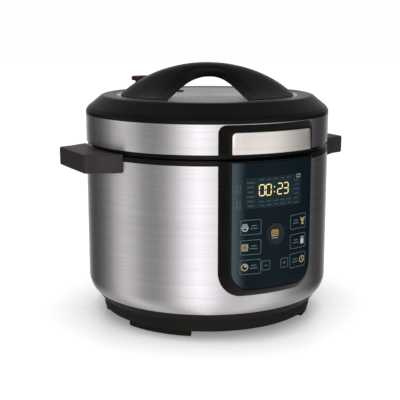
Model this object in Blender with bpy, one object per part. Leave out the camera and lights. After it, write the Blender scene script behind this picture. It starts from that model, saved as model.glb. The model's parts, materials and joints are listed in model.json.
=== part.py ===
"""Electric pressure cooker with a locking lid, modelled as separate solids.

Sizes are in millimetres and are scaled to metres when a mesh is made. +Z is up, the control
panel faces -Y and the carrying handles point along X. The origin is on the table, under the
middle of the body. Azimuths are in degrees from the front, and grow towards +X.
"""

import math
from collections import namedtuple

import bmesh
import bpy
from mathutils import Matrix, Vector

MM = 0.001
GAP = 0.3                       # clearance between pieces that touch
TURN_STEPS = 48                 # facets round a large turned piece
SMALL_STEPS = 16                # facets round a small one
SHARP_ANGLE = math.radians(35)

# The steel-clad body
BODY_RADIUS = 141.0
SHELL_THICKNESS = 1.0
SHELL_BOTTOM = 30.0
SHELL_TOP = 191.8
SHELL_CORNER = 26.0             # radius of the rounded lower edge
CORNER_RISE = 16.0              # height of that radius's centre over the shell's bottom
RIM_LIP_TOP = 197.4
RIM_NECK_RADIUS = 136.0
PAN_FLOOR = 8.0
PAN_WALL_BOTTOM = 6.7
FOOT_AZIMUTHS = {"front_left": -56.0, "front_right": 56.0, "rear_left": -124.0, "rear_right": 124.0}
FOOT_HALF_SWEEP = 18.5
BASE_SCREW_HOLE = 2.3

# The lid
LID_BOTTOM = 203.3
BAND_TOP = 235.0
TOP_PLATE_RADIUS = 105.8
TOP_PLATE_HEIGHT = 255.0
TOP_PLATE_THICKNESS = 1.2
LUG_COUNT = 8
LUG_HALF_WIDTH = 8.0            # degrees, at a lug's full depth

# The arch handle stands askew on the lid. Each edge of it is a cubic curve from its middle to
# a root, with four control points of (along the handle, across it, height over its base).
# The middle's own place along the handle is how far that edge leans to one side.
HANDLE_TURN = -28.6
HANDLE_FOOT = 0.8                # thickness of the roots' thin border
HANDLE_EDGES = (
    ((0.0, 0.0, 36.3), (45.0, 0.0, 36.3), (80.0, 0.0, 18.2), (99.5, 0.0, HANDLE_FOOT)),
    ((0.0, -9.0, 35.7), (44.0, -9.0, 36.0), (76.0, -22.0, 17.0), (97.0, -32.0, HANDLE_FOOT)),
    ((0.0, -15.5, 34.5), (40.0, -15.0, 36.0), (67.0, -34.0, 10.5), (83.0, -61.0, HANDLE_FOOT)),
    ((0.0, -19.0, 33.0), (34.0, -17.0, 36.7), (54.0, -40.0, 5.5), (61.0, -82.5, HANDLE_FOOT)),
    ((0.0, -21.0, 30.0), (31.0, -20.0, 32.7), (49.0, -40.0, 2.0), (54.0, -87.2, HANDLE_FOOT)),
    ((1.5, -20.5, 25.2), (27.0, -19.0, 27.2), (43.0, -39.0, 0.8), (48.0, -90.5, HANDLE_FOOT)),
    ((3.0, -17.5, 21.1), (22.0, -16.0, 21.7), (37.0, -38.0, 0.8), (42.5, -93.2, HANDLE_FOOT)),
    ((3.0, -8.0, 20.3), (22.0, -8.0, 20.7), (46.0, -24.0, 6.7), (50.0, -50.0, HANDLE_FOOT)),
    ((3.0, 8.0, 20.3), (22.0, 8.0, 20.7), (48.0, 0.0, 10.7), (56.0, -8.0, HANDLE_FOOT)),
    ((3.0, 17.5, 21.1), (22.0, 17.0, 21.7), (50.0, 17.0, 12.7), (57.0, 22.0, HANDLE_FOOT)),
    ((0.0, 21.0, 28.2), (32.0, 20.0, 29.2), (62.0, 22.0, 18.7), (74.0, 26.0, HANDLE_FOOT)),
    ((0.0, 18.0, 33.2), (38.0, 17.0, 34.7), (74.0, 20.0, 20.7), (90.0, 24.0, HANDLE_FOOT)),
    ((0.0, 9.0, 35.7), (44.0, 9.0, 36.0), (79.0, 11.0, 19.2), (98.0, 14.0, HANDLE_FOOT)),
)
HANDLE_PARTS = (0.0, 0.12, 0.24, 0.36, 0.48, 0.60, 0.71, 0.82, 0.92, 1.0)
HANDLE_SCREW_REACH = 78.0

# The front panel, wrapped round the body
FACE_RADIUS = 149.0
FOOTPRINT_RADIUS = BODY_RADIUS + GAP
PANEL_FACET = 10.0              # widest facet along the panel's arc
CORNER_STEPS = 5                # facets in a panel's large corner
SMALL_CORNER = 4.0              # corner radius below which two facets are enough
KEY_SIZE = (24.4, 17.0)
KEY_COLUMNS = {"left": -29.0, "right": 32.0}
KEY_ROWS = {"top": 128.0, "middle": 106.4, "bottom": 85.2}
SMALL_KEY_SIZE = (10.8, 11.4)
SMALL_KEYS = {"key_minus": -11.0, "key_plus": 12.6}
SMALL_KEY_HEIGHT = 85.2
START_BUTTON = (0.8, 118.0, 12.4)    # middle, height, radius

# The side handles
SIDE_HANDLE_REACH = 170.0
SIDE_HANDLE_TOP = 199.8
SIDE_HANDLE_BOTTOM = 179.3
SIDE_SCREW_Y = 30.0
SIDE_SCREW_HEIGHT = 183.9

# Works inside
INNER_POT_RADIUS = 110.0
EXHAUST_PLACE = (-47.1, 72.4)
KNOB_LEVER_AZIMUTH = -120.0
FLOAT_PLACE = (-5.5, 57.7)
INLET_MIDDLE_HEIGHT = 62.0

FINISHES = {
    "brushed_steel": ((0.62, 0.61, 0.62), 0.32, 1.0),
    "dull_steel": ((0.55, 0.55, 0.55), 0.42, 1.0),
    "plate_steel": ((0.78, 0.74, 0.69), 0.35, 1.0),
    "aluminium": ((0.66, 0.66, 0.67), 0.45, 1.0),
    "brass": ((0.78, 0.60, 0.30), 0.35, 1.0),
    "gloss_black": ((0.018, 0.017, 0.016), 0.22, 0.0),
    "satin_black": ((0.022, 0.021, 0.020), 0.42, 0.0),
    "panel_blue": ((0.010, 0.030, 0.042), 0.20, 0.0),
    "key_blue": ((0.014, 0.036, 0.048), 0.28, 0.0),
    "smoked_glass": ((0.030, 0.060, 0.075), 0.08, 0.0),
    "red_brown": ((0.120, 0.030, 0.020), 0.40, 0.0),
    "silicone": ((0.72, 0.72, 0.70), 0.60, 0.0),
    "red_silicone": ((0.55, 0.06, 0.04), 0.55, 0.0),
    "rubber": ((0.030, 0.030, 0.030), 0.75, 0.0),
    "circuit_board": ((0.030, 0.140, 0.060), 0.55, 0.0),
    "pale_plastic": ((0.60, 0.60, 0.56), 0.50, 0.0),
}

# A rounded rectangle on the face cylinder: its middle and half width are lengths along the
# arc at FACE_RADIUS, and its corners have one radius at the low edge and one at the high edge.
Patch = namedtuple("Patch", "middle half_width low high low_radius high_radius")

BEZEL_FOOTPRINT = Patch(0.0, 63.4, 51.5, RIM_LIP_TOP, 27.0, 0.0)
BEZEL_FACE = Patch(0.0, 51.2, 59.3, RIM_LIP_TOP, 22.0, 0.0)
HOUSING_FOOTPRINT = Patch(0.0, 63.4, LID_BOTTOM + GAP, 234.4, 0.0, 9.0)
HOUSING_FACE = Patch(0.0, 51.2, LID_BOTTOM + GAP, 228.5, 0.0, 6.0)
NAMEPLATE = Patch(0.0, 49.4, 204.6, 227.2, 0.0, 4.5)
WINDOW = Patch(0.0, 35.3, 147.2, 180.6, 1.5, 1.5)


def clear_scene():
    for item in list(bpy.data.objects):
        bpy.data.objects.remove(item, do_unlink=True)


def make_material(name, finish):
    """A plain Principled finish, named after the piece that wears it."""
    colour, roughness, metallic = FINISHES[finish]
    material = bpy.data.materials.new(name + "_finish")
    material.use_nodes = True
    shader = material.node_tree.nodes["Principled BSDF"]
    shader.inputs["Base Color"].default_value = (*colour, 1.0)
    shader.inputs["Roughness"].default_value = roughness
    shader.inputs["Metallic"].default_value = metallic
    material.diffuse_color = (*colour, 1.0)
    return material


def make_piece(name, mesh, finish, origin=(0.0, 0.0, 0.0)):
    """Turns a bmesh in millimetres into an object whose origin is at the given point."""
    bmesh.ops.translate(mesh, verts=mesh.verts, vec=-Vector(origin))
    bmesh.ops.scale(mesh, verts=mesh.verts, vec=(MM, MM, MM))
    bmesh.ops.recalc_face_normals(mesh, faces=mesh.faces)
    if mesh.calc_volume(signed=True) < 0.0:
        bmesh.ops.reverse_faces(mesh, faces=mesh.faces)
    data = bpy.data.meshes.new(name)
    mesh.to_mesh(data)
    mesh.free()
    data.shade_smooth()
    data.set_sharp_from_angle(angle=SHARP_ANGLE)
    piece = bpy.data.objects.new(name, data)
    piece.location = Vector(origin) * MM
    if finish:
        data.materials.append(make_material(name, finish))
    bpy.context.scene.collection.objects.link(piece)
    return piece


def cut(piece, label, mesh):
    """Cuts a mesh out of a piece, by a Boolean with a hidden cutter."""
    cutter = make_piece(piece.name + "_" + label, mesh, None)
    cutter.hide_render = True
    cutter.display_type = "WIRE"
    modifier = piece.modifiers.new(label, "BOOLEAN")
    modifier.operation = "DIFFERENCE"
    modifier.solver = "EXACT"
    modifier.object = cutter


def join(piece, label, mesh):
    """Fuses a mesh into a piece, by a Boolean with a hidden tool."""
    cut(piece, label, mesh)
    piece.modifiers[label].operation = "UNION"


def polar(azimuth, radius, height):
    angle = math.radians(azimuth)
    return Vector((radius * math.sin(angle), -radius * math.cos(angle), height))


def without_repeats(items):
    return list(dict.fromkeys(items))


def turned(profile, steps=TURN_STEPS, centre=(0.0, 0.0), start=0.0, sweep=360.0):
    """A closed outline of (radius, height) swept about a vertical axis.

    The profile is a list, or a function that gives the list at an azimuth.
    """
    outline = profile if callable(profile) else lambda azimuth: profile
    full = sweep == 360.0
    count = steps if full else steps + 1
    place = Vector((centre[0], centre[1], 0.0))
    mesh = bmesh.new()
    on_axis = {}
    rows = []
    for turn in range(count):
        azimuth = start + sweep * turn / steps
        row = []
        for index, (radius, height) in enumerate(outline(azimuth)):
            if radius > 0.0:
                row.append(mesh.verts.new(place + polar(azimuth, radius, height)))
                continue
            if index not in on_axis:
                on_axis[index] = mesh.verts.new(place + Vector((0.0, 0.0, height)))
            row.append(on_axis[index])
        rows.append(row)
    for turn in range(steps):
        here = rows[turn]
        there = rows[(turn + 1) % count]
        for k in range(len(here)):
            after = (k + 1) % len(here)
            corners = without_repeats([here[k], here[after], there[after], there[k]])
            if len(corners) > 2:
                mesh.faces.new(corners)
    if not full:
        mesh.faces.new(rows[0])
        mesh.faces.new(rows[-1])
    return mesh


def lofted(loops, ring=False, flat_ends=False):
    """A solid through loops of equal length.

    A ring joins its last loop to its first. Otherwise the ends are closed: flat ones by one
    face, and curved ones by strips between the loop's low and high edges.
    """
    mesh = bmesh.new()
    rows = [[mesh.verts.new(point) for point in loop] for loop in loops]
    pairs = list(zip(rows, rows[1:]))
    if ring:
        pairs.append((rows[-1], rows[0]))
    for here, there in pairs:
        for k in range(len(here)):
            after = (k + 1) % len(here)
            mesh.faces.new((here[k], here[after], there[after], there[k]))
    for row in [] if ring else [rows[0], rows[-1]]:
        if flat_ends:
            mesh.faces.new(row)
            continue
        for k in range(len(row) // 2 - 1):
            mesh.faces.new((row[k], row[k + 1], row[-k - 2], row[-k - 1]))
    return mesh


def box(low, high):
    """A box between two corners."""
    low = Vector(low)
    high = Vector(high)
    size = high - low
    mesh = bmesh.new()
    place = Matrix.Translation((low + high) / 2) @ Matrix.Diagonal((*size, 1.0))
    bmesh.ops.create_cube(mesh, size=1.0, matrix=place)
    return mesh


def rod(low, high, radius, centre=(0.0, 0.0), steps=12):
    """A vertical cylinder, or a disc."""
    place = Vector((centre[0], centre[1], 0.0))
    azimuths = [360.0 * step / steps for step in range(steps)]
    loops = [[place + polar(azimuth, radius, height) for azimuth in azimuths] for height in (low, high)]
    return lofted(loops, flat_ends=True)


def laid_along_x(mesh, place, towards):
    """Turns a mesh made about +Z so that it points along +X or -X, at a place."""
    turn = Matrix.Rotation(math.radians(90.0) * towards, 4, "Y")
    bmesh.ops.transform(mesh, verts=mesh.verts, matrix=Matrix.Translation(place) @ turn)
    return mesh


def inset(patch, amount):
    """The same patch with every edge moved in, or out where the amount is negative."""
    def smaller(radius):
        return max(radius - amount, 0.5) if radius else 0.0

    return Patch(patch.middle, patch.half_width - amount, patch.low + amount,
                 patch.high - amount, smaller(patch.low_radius), smaller(patch.high_radius))


def column_places(patch):
    """Places across a patch, from -1 to 1 of its half width, closer together in its corners."""
    radius = max(patch.low_radius, patch.high_radius)
    corner_steps = 2 if radius < SMALL_CORNER else CORNER_STEPS
    corner = radius / patch.half_width
    places = []
    for step in range(corner_steps):
        turn = math.pi / 2 * step / corner_steps
        places.append(1.0 - corner * (1.0 - math.cos(turn)))
    inner = 1.0 - corner
    inner_steps = math.ceil(inner * patch.half_width / PANEL_FACET)
    for step in range(inner_steps + 1):
        places.append(inner * (1.0 - step / inner_steps))
    return [-place for place in places] + places[-2::-1]


def corner_drop(distance, radius):
    """How far a rounded corner stands back from its edge, at a distance from the side."""
    if distance >= radius:
        return 0.0
    return radius - math.sqrt(radius ** 2 - (radius - distance) ** 2)


def patch_loop(patch, places, radius):
    """A patch's outline at a radius: its low edge from -X to +X, then its high edge back."""
    low_edge = []
    high_edge = []
    for place in places:
        along = patch.half_width * place
        distance = patch.half_width - abs(along)
        azimuth = math.degrees((patch.middle + along) / FACE_RADIUS)
        low = patch.low + corner_drop(distance, patch.low_radius)
        high = patch.high - corner_drop(distance, patch.high_radius)
        low_edge.append(polar(azimuth, radius, low))
        high_edge.append(polar(azimuth, radius, high))
    return low_edge + high_edge[::-1]


def wrapped(layers, ring=False):
    """A solid through patches, each at its own radius."""
    places = column_places(layers[0][0])
    return lofted([patch_loop(patch, places, radius) for patch, radius in layers], ring)


def hole_through(patch, inner, outer):
    """A cutter for a piece that fills a patch with a clearance all round."""
    return wrapped([(inset(patch, -GAP), inner), (inset(patch, -GAP), outer)])


def corner_arc(radius, bottom):
    """The shell's rounded lower edge, from its vertical side down to a height."""
    centre_radius = BODY_RADIUS - SHELL_CORNER
    centre_height = SHELL_BOTTOM + CORNER_RISE
    last = math.asin((centre_height - bottom) / radius)
    points = []
    for step in range(5):
        turn = last * step / 4
        points.append((centre_radius + radius * math.cos(turn), centre_height - radius * math.sin(turn)))
    return points


def in_lug(azimuth):
    pitch = 360.0 / LUG_COUNT
    return abs((azimuth + pitch / 2) % pitch - pitch / 2) < LUG_HALF_WIDTH


def handle_place(along, across, height=0.0):
    """A point in the arch handle's own directions, placed on the lid."""
    turn = math.radians(HANDLE_TURN)
    return Vector((along * math.cos(turn) - across * math.sin(turn),
                   along * math.sin(turn) + across * math.cos(turn),
                   TOP_PLATE_HEIGHT + GAP + height))


def handle_screw_places():
    return [handle_place(side * HANDLE_SCREW_REACH, 0.0)[:2] for side in (-1, 1)]


# ---- base body -------------------------------------------------------------------------

def make_base_pan():
    outline = [(BASE_SCREW_HOLE, PAN_FLOOR), (119.5, PAN_FLOOR), (120.5, PAN_WALL_BOTTOM),
               (123.5, PAN_WALL_BOTTOM), (124.8, 19.1), (126.6, 19.4), (134.9, 29.6),
               (133.2, 29.6), (133.2, 36.0), (131.0, 36.0), (130.6, 30.0), (122.0, 20.0),
               (121.0, 10.5), (BASE_SCREW_HOLE, 10.5)]
    make_piece("base_pan", turned(outline), "satin_black")


def make_feet():
    outline = [(113.0, 0.0), (120.5, 0.0), (122.3, 1.4), (122.3, PAN_WALL_BOTTOM - GAP),
               (119.0, PAN_WALL_BOTTOM - GAP), (119.0, PAN_FLOOR - GAP), (113.0, PAN_FLOOR - GAP)]
    for place, azimuth in FOOT_AZIMUTHS.items():
        sector = turned(outline, 6, start=azimuth - FOOT_HALF_SWEEP, sweep=2 * FOOT_HALF_SWEEP)
        make_piece("foot_" + place, sector, "rubber")


def screw_outline(length, head_radius=3.6, head_height=2.2, shank_radius=1.9):
    """A pan-head screw: its shank runs up from z = 0 and its head is below."""
    return [(0.0, -head_height), (head_radius * 0.7, -head_height), (head_radius, -head_height * 0.45),
            (head_radius, 0.0), (shank_radius, 0.0), (shank_radius, length), (0.0, length)]


def make_base_screw():
    """The one screw, in the middle, that holds the base pan to the heat shield."""
    seat = PAN_FLOOR - GAP
    outline = [(radius, height + seat) for radius, height in screw_outline(15.2, 5.0)]
    make_piece("base_screw", turned(outline, 12), "dull_steel")


def make_outer_shell():
    inner = BODY_RADIUS - SHELL_THICKNESS
    outline = [(BODY_RADIUS, SHELL_TOP), *corner_arc(SHELL_CORNER, SHELL_BOTTOM),
               *corner_arc(SHELL_CORNER - SHELL_THICKNESS, SHELL_BOTTOM)[::-1], (inner, SHELL_TOP)]
    shell = make_piece("outer_shell", turned(outline), "brushed_steel")
    cut(shell, "board_window", box((-43.0, -150.0, 66.0), (43.0, -125.0, 184.5)))
    cut(shell, "inlet_window", box((-17.5, 125.0, 48.5), (17.5, 150.0, 75.5)))
    for side in (-1, 1):
        for end in (-1, 1):
            place = (side * 130.0, end * SIDE_SCREW_Y, SIDE_SCREW_HEIGHT)
            hole = laid_along_x(rod(0.0, 15.0, 2.3), place, side)
            cut(shell, f"handle_hole_{side}_{end}", hole)


def make_rim_ring():
    outline = [(BODY_RADIUS, RIM_LIP_TOP), (BODY_RADIUS, SHELL_TOP + GAP),
               (139.4, SHELL_TOP + GAP), (139.4, 188.2), (137.4, 188.2), (137.4, 193.0),
               (132.4, 193.0), (132.4, 206.0), (RIM_NECK_RADIUS, 206.0), (RIM_NECK_RADIUS, RIM_LIP_TOP)]
    make_piece("rim_ring", turned(outline), "gloss_black")


def make_outer_pot():
    def outline(azimuth):
        lip = 122.5 if in_lug(azimuth) else 127.2
        return [(100.0, 42.0), (116.0, 42.0), (116.0, 186.0), (130.0, 188.0), (130.0, 201.0),
                (lip, 201.0), (lip, 198.5), (128.0, 198.5), (128.0, 190.0), (114.0, 189.6),
                (114.0, 44.0), (100.0, 44.0)]

    make_piece("outer_pot", turned(outline), "aluminium")


def make_inner_pot():
    wall = INNER_POT_RADIUS
    outline = [(0.0, 48.0), (104.0, 48.0), (109.3, 50.2), (wall + 1.5, 55.5), (wall + 1.5, 190.3),
               (120.0, 190.3), (120.0, 191.8), (wall, 191.8), (wall, 56.0), (108.2, 51.6),
               (103.5, 49.6), (0.0, 49.6)]
    make_piece("inner_pot", turned(outline), "dull_steel")


def make_heater():
    plate = [(14.0, 40.0), (85.0, 40.0), (85.0, 46.5), (80.0, 47.7), (14.0, 47.7)]
    make_piece("heating_plate", turned(plate, 32), "aluminium")
    shield = [(BASE_SCREW_HOLE, 21.0), (106.0, 21.0), (106.0, 22.2), (BASE_SCREW_HOLE, 22.2)]
    make_piece("heat_shield", turned(shield, 32), "dull_steel")
    sensor = [(0.0, 38.0), (12.4, 38.0), (12.4, 45.0), (9.0, 47.6), (0.0, 47.6)]
    make_piece("temperature_sensor", turned(sensor, SMALL_STEPS), "aluminium", origin=(0.0, 0.0, 38.0))
    make_piece("thermal_fuse", box((24.0, -3.0, 32.0), (42.0, 3.0, 39.6)), "pale_plastic")
    make_piece("pressure_switch", box((-62.0, -12.0, 24.0), (-40.0, 12.0, 36.0)), "satin_black")


def make_sensor_spring():
    """A compression spring that presses the temperature sensor against the pot."""
    turns = 4.5
    points_per_turn = 8
    low = 23.3
    high = 36.9
    count = int(turns * points_per_turn)
    curve = bpy.data.curves.new("sensor_spring", "CURVE")
    curve.dimensions = "3D"
    curve.bevel_depth = 0.6 * MM
    curve.bevel_resolution = 0
    curve.use_fill_caps = True
    path = curve.splines.new("POLY")
    path.points.add(count)
    for index, point in enumerate(path.points):
        part = index / count
        point.co = (*(polar(360.0 * turns * part, 8.0, low + (high - low) * part) * MM), 1.0)
    spring = bpy.data.objects.new("sensor_spring", curve)
    curve.materials.append(make_material("sensor_spring", "dull_steel"))
    bpy.context.scene.collection.objects.link(spring)


def make_boards():
    power = make_piece("power_board", box((-45.0, 20.0, 13.6), (45.0, 78.0, 15.2)), "circuit_board")
    join(power, "transformer", box((-34.0, 30.0, 14.0), (-14.0, 54.0, 20.4)))
    join(power, "relay", box((6.0, 34.0, 14.0), (26.0, 50.0, 20.4)))
    make_piece("display_board", box((-36.0, -136.5, 72.0), (36.0, -134.9, 182.0)), "circuit_board")
    make_piece("display_module", box((-33.0, -142.4, 149.0), (33.0, -137.0, 179.0)), "pale_plastic")


def make_side_handles():
    """Each is a moulding with a finger pocket underneath, screwed on from inside the shell."""
    def outline(margin, height, shell_radius, side):
        flank = 52.0 - margin
        reach = SIDE_HANDLE_REACH - margin
        root = math.sqrt(shell_radius ** 2 - flank ** 2)
        half = [(shell_radius * math.cos(t), shell_radius * math.sin(t))
                for t in [math.asin(flank / shell_radius) * k / 3 for k in range(1, 3)]]
        half += [(root, flank), (160.0 - margin, 40.5 - margin), (reach - 4.0, 39.2 - margin),
                 (reach - 1.2, 38.0 - margin), (reach, 35.2 - margin)]
        points = [(shell_radius, 0.0)] + half + [(x, -y) for x, y in half[::-1]]
        return [Vector((side * x, y, height)) for x, y in points]

    for name, side in (("left", -1), ("right", 1)):
        top = SIDE_HANDLE_TOP
        bottom = SIDE_HANDLE_BOTTOM
        pocket = [outline(4.0, 195.6, 149.0, side), outline(4.0, bottom, 149.0, side)]
        levels = ((0.6, bottom), (0.0, bottom + 0.8), (0.0, top - 1.2), (1.0, top))
        loops = pocket + [outline(margin, height, FOOTPRINT_RADIUS, side) for margin, height in levels]
        handle = make_piece("side_handle_" + name, lofted(loops, flat_ends=True), "satin_black")
        for number, end in enumerate((-1, 1), 1):
            place = Vector((side * 135.2, end * SIDE_SCREW_Y, SIDE_SCREW_HEIGHT))
            cut(handle, f"screw_hole_{number}", laid_along_x(rod(0.0, 9.6, 2.2), place, side))
            screw = laid_along_x(turned(screw_outline(9.2), 12), place, side)
            make_piece(f"{name}_handle_screw_{number}", screw, "dull_steel")


def make_bezel():
    layers = [(BEZEL_FACE, FACE_RADIUS), (inset(BEZEL_FACE, 1.2), FACE_RADIUS),
              (inset(BEZEL_FACE, 1.2), 145.5), (inset(BEZEL_FACE, 4.5), 145.5),
              (inset(BEZEL_FACE, 4.5), FOOTPRINT_RADIUS), (BEZEL_FOOTPRINT, FOOTPRINT_RADIUS)]
    make_piece("control_bezel", wrapped(layers, ring=True), "gloss_black")


def key_patches():
    """Every key's name and outline on the panel."""
    patches = {}
    for side, middle in KEY_COLUMNS.items():
        for row, height in KEY_ROWS.items():
            patches[f"key_{side}_{row}"] = Patch(middle, KEY_SIZE[0] / 2, height - KEY_SIZE[1] / 2,
                                                 height + KEY_SIZE[1] / 2, 2.4, 2.4)
    for name, middle in SMALL_KEYS.items():
        patches[name] = Patch(middle, SMALL_KEY_SIZE[0] / 2, SMALL_KEY_HEIGHT - SMALL_KEY_SIZE[1] / 2,
                              SMALL_KEY_HEIGHT + SMALL_KEY_SIZE[1] / 2, 2.0, 2.0)
    middle, height, radius = START_BUTTON
    patches["start_button"] = Patch(middle, radius, height - radius, height + radius,
                                    radius * 0.96, radius * 0.96)
    return patches


def make_control_panel():
    outline = inset(BEZEL_FACE, 1.2 + GAP)
    panel = make_piece("control_panel", wrapped([(outline, 145.8), (outline, 148.8)]), "panel_blue")
    cut(panel, "window_hole", hole_through(WINDOW, 143.0, 152.0))
    make_piece("display_window", wrapped([(WINDOW, 147.2), (WINDOW, 148.8)]), "smoked_glass")
    for name, patch in key_patches().items():
        cut(panel, name + "_hole", hole_through(patch, 143.0, 152.0))
        azimuth = math.degrees(patch.middle / FACE_RADIUS)
        middle = polar(azimuth, 148.8, (patch.low + patch.high) / 2)
        key = wrapped([(patch, 146.1), (patch, 148.6), (inset(patch, 0.5), 148.9)])
        make_piece(name, key, "key_blue", origin=middle)


def make_inlet():
    """The power inlet: a socket open to the rear, with three pins."""
    low = INLET_MIDDLE_HEIGHT - 12.0
    high = INLET_MIDDLE_HEIGHT + 12.0
    inlet = make_piece("power_inlet", box((-17.0, 124.0, low), (17.0, 146.5, high)), "satin_black")
    cut(inlet, "socket", box((-12.0, 128.0, low + 2.5), (12.0, 150.0, high - 2.5)))
    pins = {"live": (-7.0, 59.0), "neutral": (7.0, 59.0), "earth": (0.0, 66.5)}
    for name, (x, z) in pins.items():
        cut(inlet, name + "_slot", box((x - 1.3, 120.0, z - 2.3), (x + 1.3, 130.0, z + 2.3)))
        make_piece("inlet_pin_" + name, box((x - 1.0, 119.0, z - 2.0), (x + 1.0, 142.0, z + 2.0)), "brass")


def make_collector():
    """The condensate cup, which pulls straight back off a spigot on the shell."""
    make_piece("collector_bracket", box((-9.0, 141.6, 164.0), (9.0, 145.2, 184.0)), "satin_black")
    cup = make_piece("condensate_collector", box((-26.0, 142.2, 148.0), (26.0, 153.5, 188.0)),
                     "gloss_black", origin=(0.0, 142.2, 168.0))
    cut(cup, "hollow", box((-24.4, 147.2, 149.8), (24.4, 151.9, 192.0)))
    cut(cup, "spigot_pocket", box((-9.4, 140.0, 163.6), (9.4, 145.6, 184.4)))


# ---- lid body --------------------------------------------------------------------------

def make_lid_dome():
    def outline(azimuth):
        lug = 126.5 if in_lug(azimuth) else 122.6
        return [(119.4, 193.5), (lug, 193.5), (lug, 196.0), (121.4, 196.0), (121.4, 211.0),
                (117.5, 221.5), (100.0, 230.0), (60.0, 234.0), (0.0, 235.0), (0.0, 233.0),
                (59.8, 232.0), (99.2, 228.0), (115.8, 220.0), (119.4, 210.6)]

    dome = make_piece("lid_dome", turned(outline), "dull_steel")
    cut(dome, "float_hole", rod(220.0, 240.0, 2.4, FLOAT_PLACE))
    cut(dome, "exhaust_hole", rod(220.0, 240.0, 4.5, EXHAUST_PLACE))
    for number, place in enumerate(handle_screw_places(), 1):
        cut(dome, f"screw_hole_{number}", rod(220.0, 240.0, 2.3, place))


def make_seal_parts():
    seal = [(109.0, 202.4), (118.8, 202.4), (118.8, 193.5), (117.4, 192.1), (112.0, 192.1), (109.0, 195.5)]
    make_piece("sealing_ring", turned(seal), "silicone")
    ring = [(107.2, 194.0), (108.7, 194.0), (108.7, 202.4), (107.2, 202.4)]
    make_piece("seal_support_ring", turned(ring), "dull_steel")


def make_lid_cover():
    cover = [(BODY_RADIUS, BAND_TOP + GAP), (BODY_RADIUS, 238.6), (140.0, 240.2), (138.4, 242.6),
             (131.4, 248.2), (123.4, 254.6), (121.6, 255.4), (106.2, 254.9), (106.2, 253.2),
             (101.0, 253.2), (101.0, 250.8), (121.0, 250.0), (137.0, 238.0),
             (137.0, 204.0), (139.3, 204.0), (139.3, BAND_TOP + GAP)]
    make_piece("lid_cover_ring", turned(cover), "gloss_black")
    inner = BODY_RADIUS - 1.4
    band = [(BODY_RADIUS, LID_BOTTOM), (BODY_RADIUS, BAND_TOP), (inner, BAND_TOP), (inner, LID_BOTTOM)]
    make_piece("lid_band", turned(band), "brushed_steel")
    low = TOP_PLATE_HEIGHT - TOP_PLATE_THICKNESS
    disc = rod(low, TOP_PLATE_HEIGHT, TOP_PLATE_RADIUS, steps=TURN_STEPS)
    plate = make_piece("lid_top_plate", disc, "brushed_steel")
    cut(plate, "float_hole", rod(250.0, 260.0, 3.6, FLOAT_PLACE))
    cut(plate, "exhaust_hole", rod(250.0, 260.0, 4.5, EXHAUST_PLACE))
    for number, place in enumerate(handle_screw_places(), 1):
        cut(plate, f"screw_hole_{number}", rod(250.0, 260.0, 2.3, place))


def handle_section(side, part):
    """A loop round the arch handle, part of the way from its middle to the root on one side."""
    rest = 1.0 - part
    weights = (rest ** 3, 3.0 * rest ** 2 * part, 3.0 * rest * part ** 2, part ** 3)
    loop = []
    for (lean, *middle), *others in HANDLE_EDGES:
        points = [(0.0, *middle), *others]
        along, across, height = (sum(weight * point[axis] for weight, point in zip(weights, points))
                                 for axis in range(3))
        loop.append(handle_place(side * along + lean * rest ** 2, across, height))
    return loop


def make_lid_handle():
    """The arch handle, whose roots spread out along the top plate's edge."""
    loops = [handle_section(-1, part) for part in HANDLE_PARTS[:0:-1]]
    loops += [handle_section(1, part) for part in HANDLE_PARTS]
    base = Vector((0.0, 0.0, -HANDLE_FOOT))
    loops = [[point + base for point in loops[0]], *loops, [point + base for point in loops[-1]]]
    handle = make_piece("lid_handle", lofted(loops, flat_ends=True), "satin_black")
    seat = 226.8
    outline = [(radius, height + seat) for radius, height in screw_outline(34.0)]
    for number, place in enumerate(handle_screw_places(), 1):
        cut(handle, f"screw_hole_{number}", rod(250.0, 261.4, 2.3, place))
        make_piece(f"lid_handle_screw_{number}", turned(outline, 12, place), "dull_steel")


def make_nameplate():
    recess = inset(NAMEPLATE, -GAP)
    back = inset(HOUSING_FACE, 3.0)
    layers = [(recess, 148.2), (recess, FACE_RADIUS), (HOUSING_FACE, FACE_RADIUS),
              (HOUSING_FOOTPRINT, FOOTPRINT_RADIUS), (back, FOOTPRINT_RADIUS), (back, 146.0)]
    make_piece("nameplate_housing", wrapped(layers), "gloss_black")
    plate = [(NAMEPLATE, 148.5), (NAMEPLATE, 149.1)]
    make_piece("nameplate", wrapped(plate), "plate_steel")


def make_valves():
    tube = [(2.2, 226.5), (4.2, 226.5), (4.2, 263.0), (2.2, 263.0)]
    make_piece("exhaust_tube", turned(tube, 12, EXHAUST_PLACE), "dull_steel")
    cap = [(0.0, 219.0), (9.0, 219.0), (9.6, 220.0), (9.6, 227.6), (8.2, 227.6), (8.2, 220.6), (0.0, 220.6)]
    make_piece("anti_block_cap", turned(cap, SMALL_STEPS, EXHAUST_PLACE), "dull_steel")

    def knob_outline(azimuth):
        offset = (azimuth - KNOB_LEVER_AZIMUTH + 180.0) % 360.0 - 180.0
        lever = 15.0 if abs(offset) < 20.0 else 11.6
        return [(4.6, 256.0), (9.4, 256.0), (10.2, 259.0), (10.2, 267.6), (lever, 268.4),
                (lever, 272.4), (lever - 1.0, 273.4), (0.0, 273.4), (0.0, 264.0), (4.6, 264.0)]

    knob = turned(knob_outline, 24, EXHAUST_PLACE, start=-90.0)
    make_piece("steam_release_knob", knob, "red_brown", origin=(*EXHAUST_PLACE, 264.0))
    pin = [(0.0, 218.0), (3.2, 218.0), (3.2, 219.5), (1.9, 219.5), (1.9, 234.8), (3.1, 234.8),
           (3.1, 254.8), (0.0, 254.8)]
    place = (*FLOAT_PLACE, 218.0)
    make_piece("float_valve_pin", turned(pin, 12, FLOAT_PLACE), "satin_black", origin=place)
    seal = [(2.2, 219.8), (4.6, 219.8), (4.6, 222.6), (2.2, 222.6)]
    make_piece("float_valve_seal", turned(seal, 12, FLOAT_PLACE), "red_silicone", origin=place)


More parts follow.
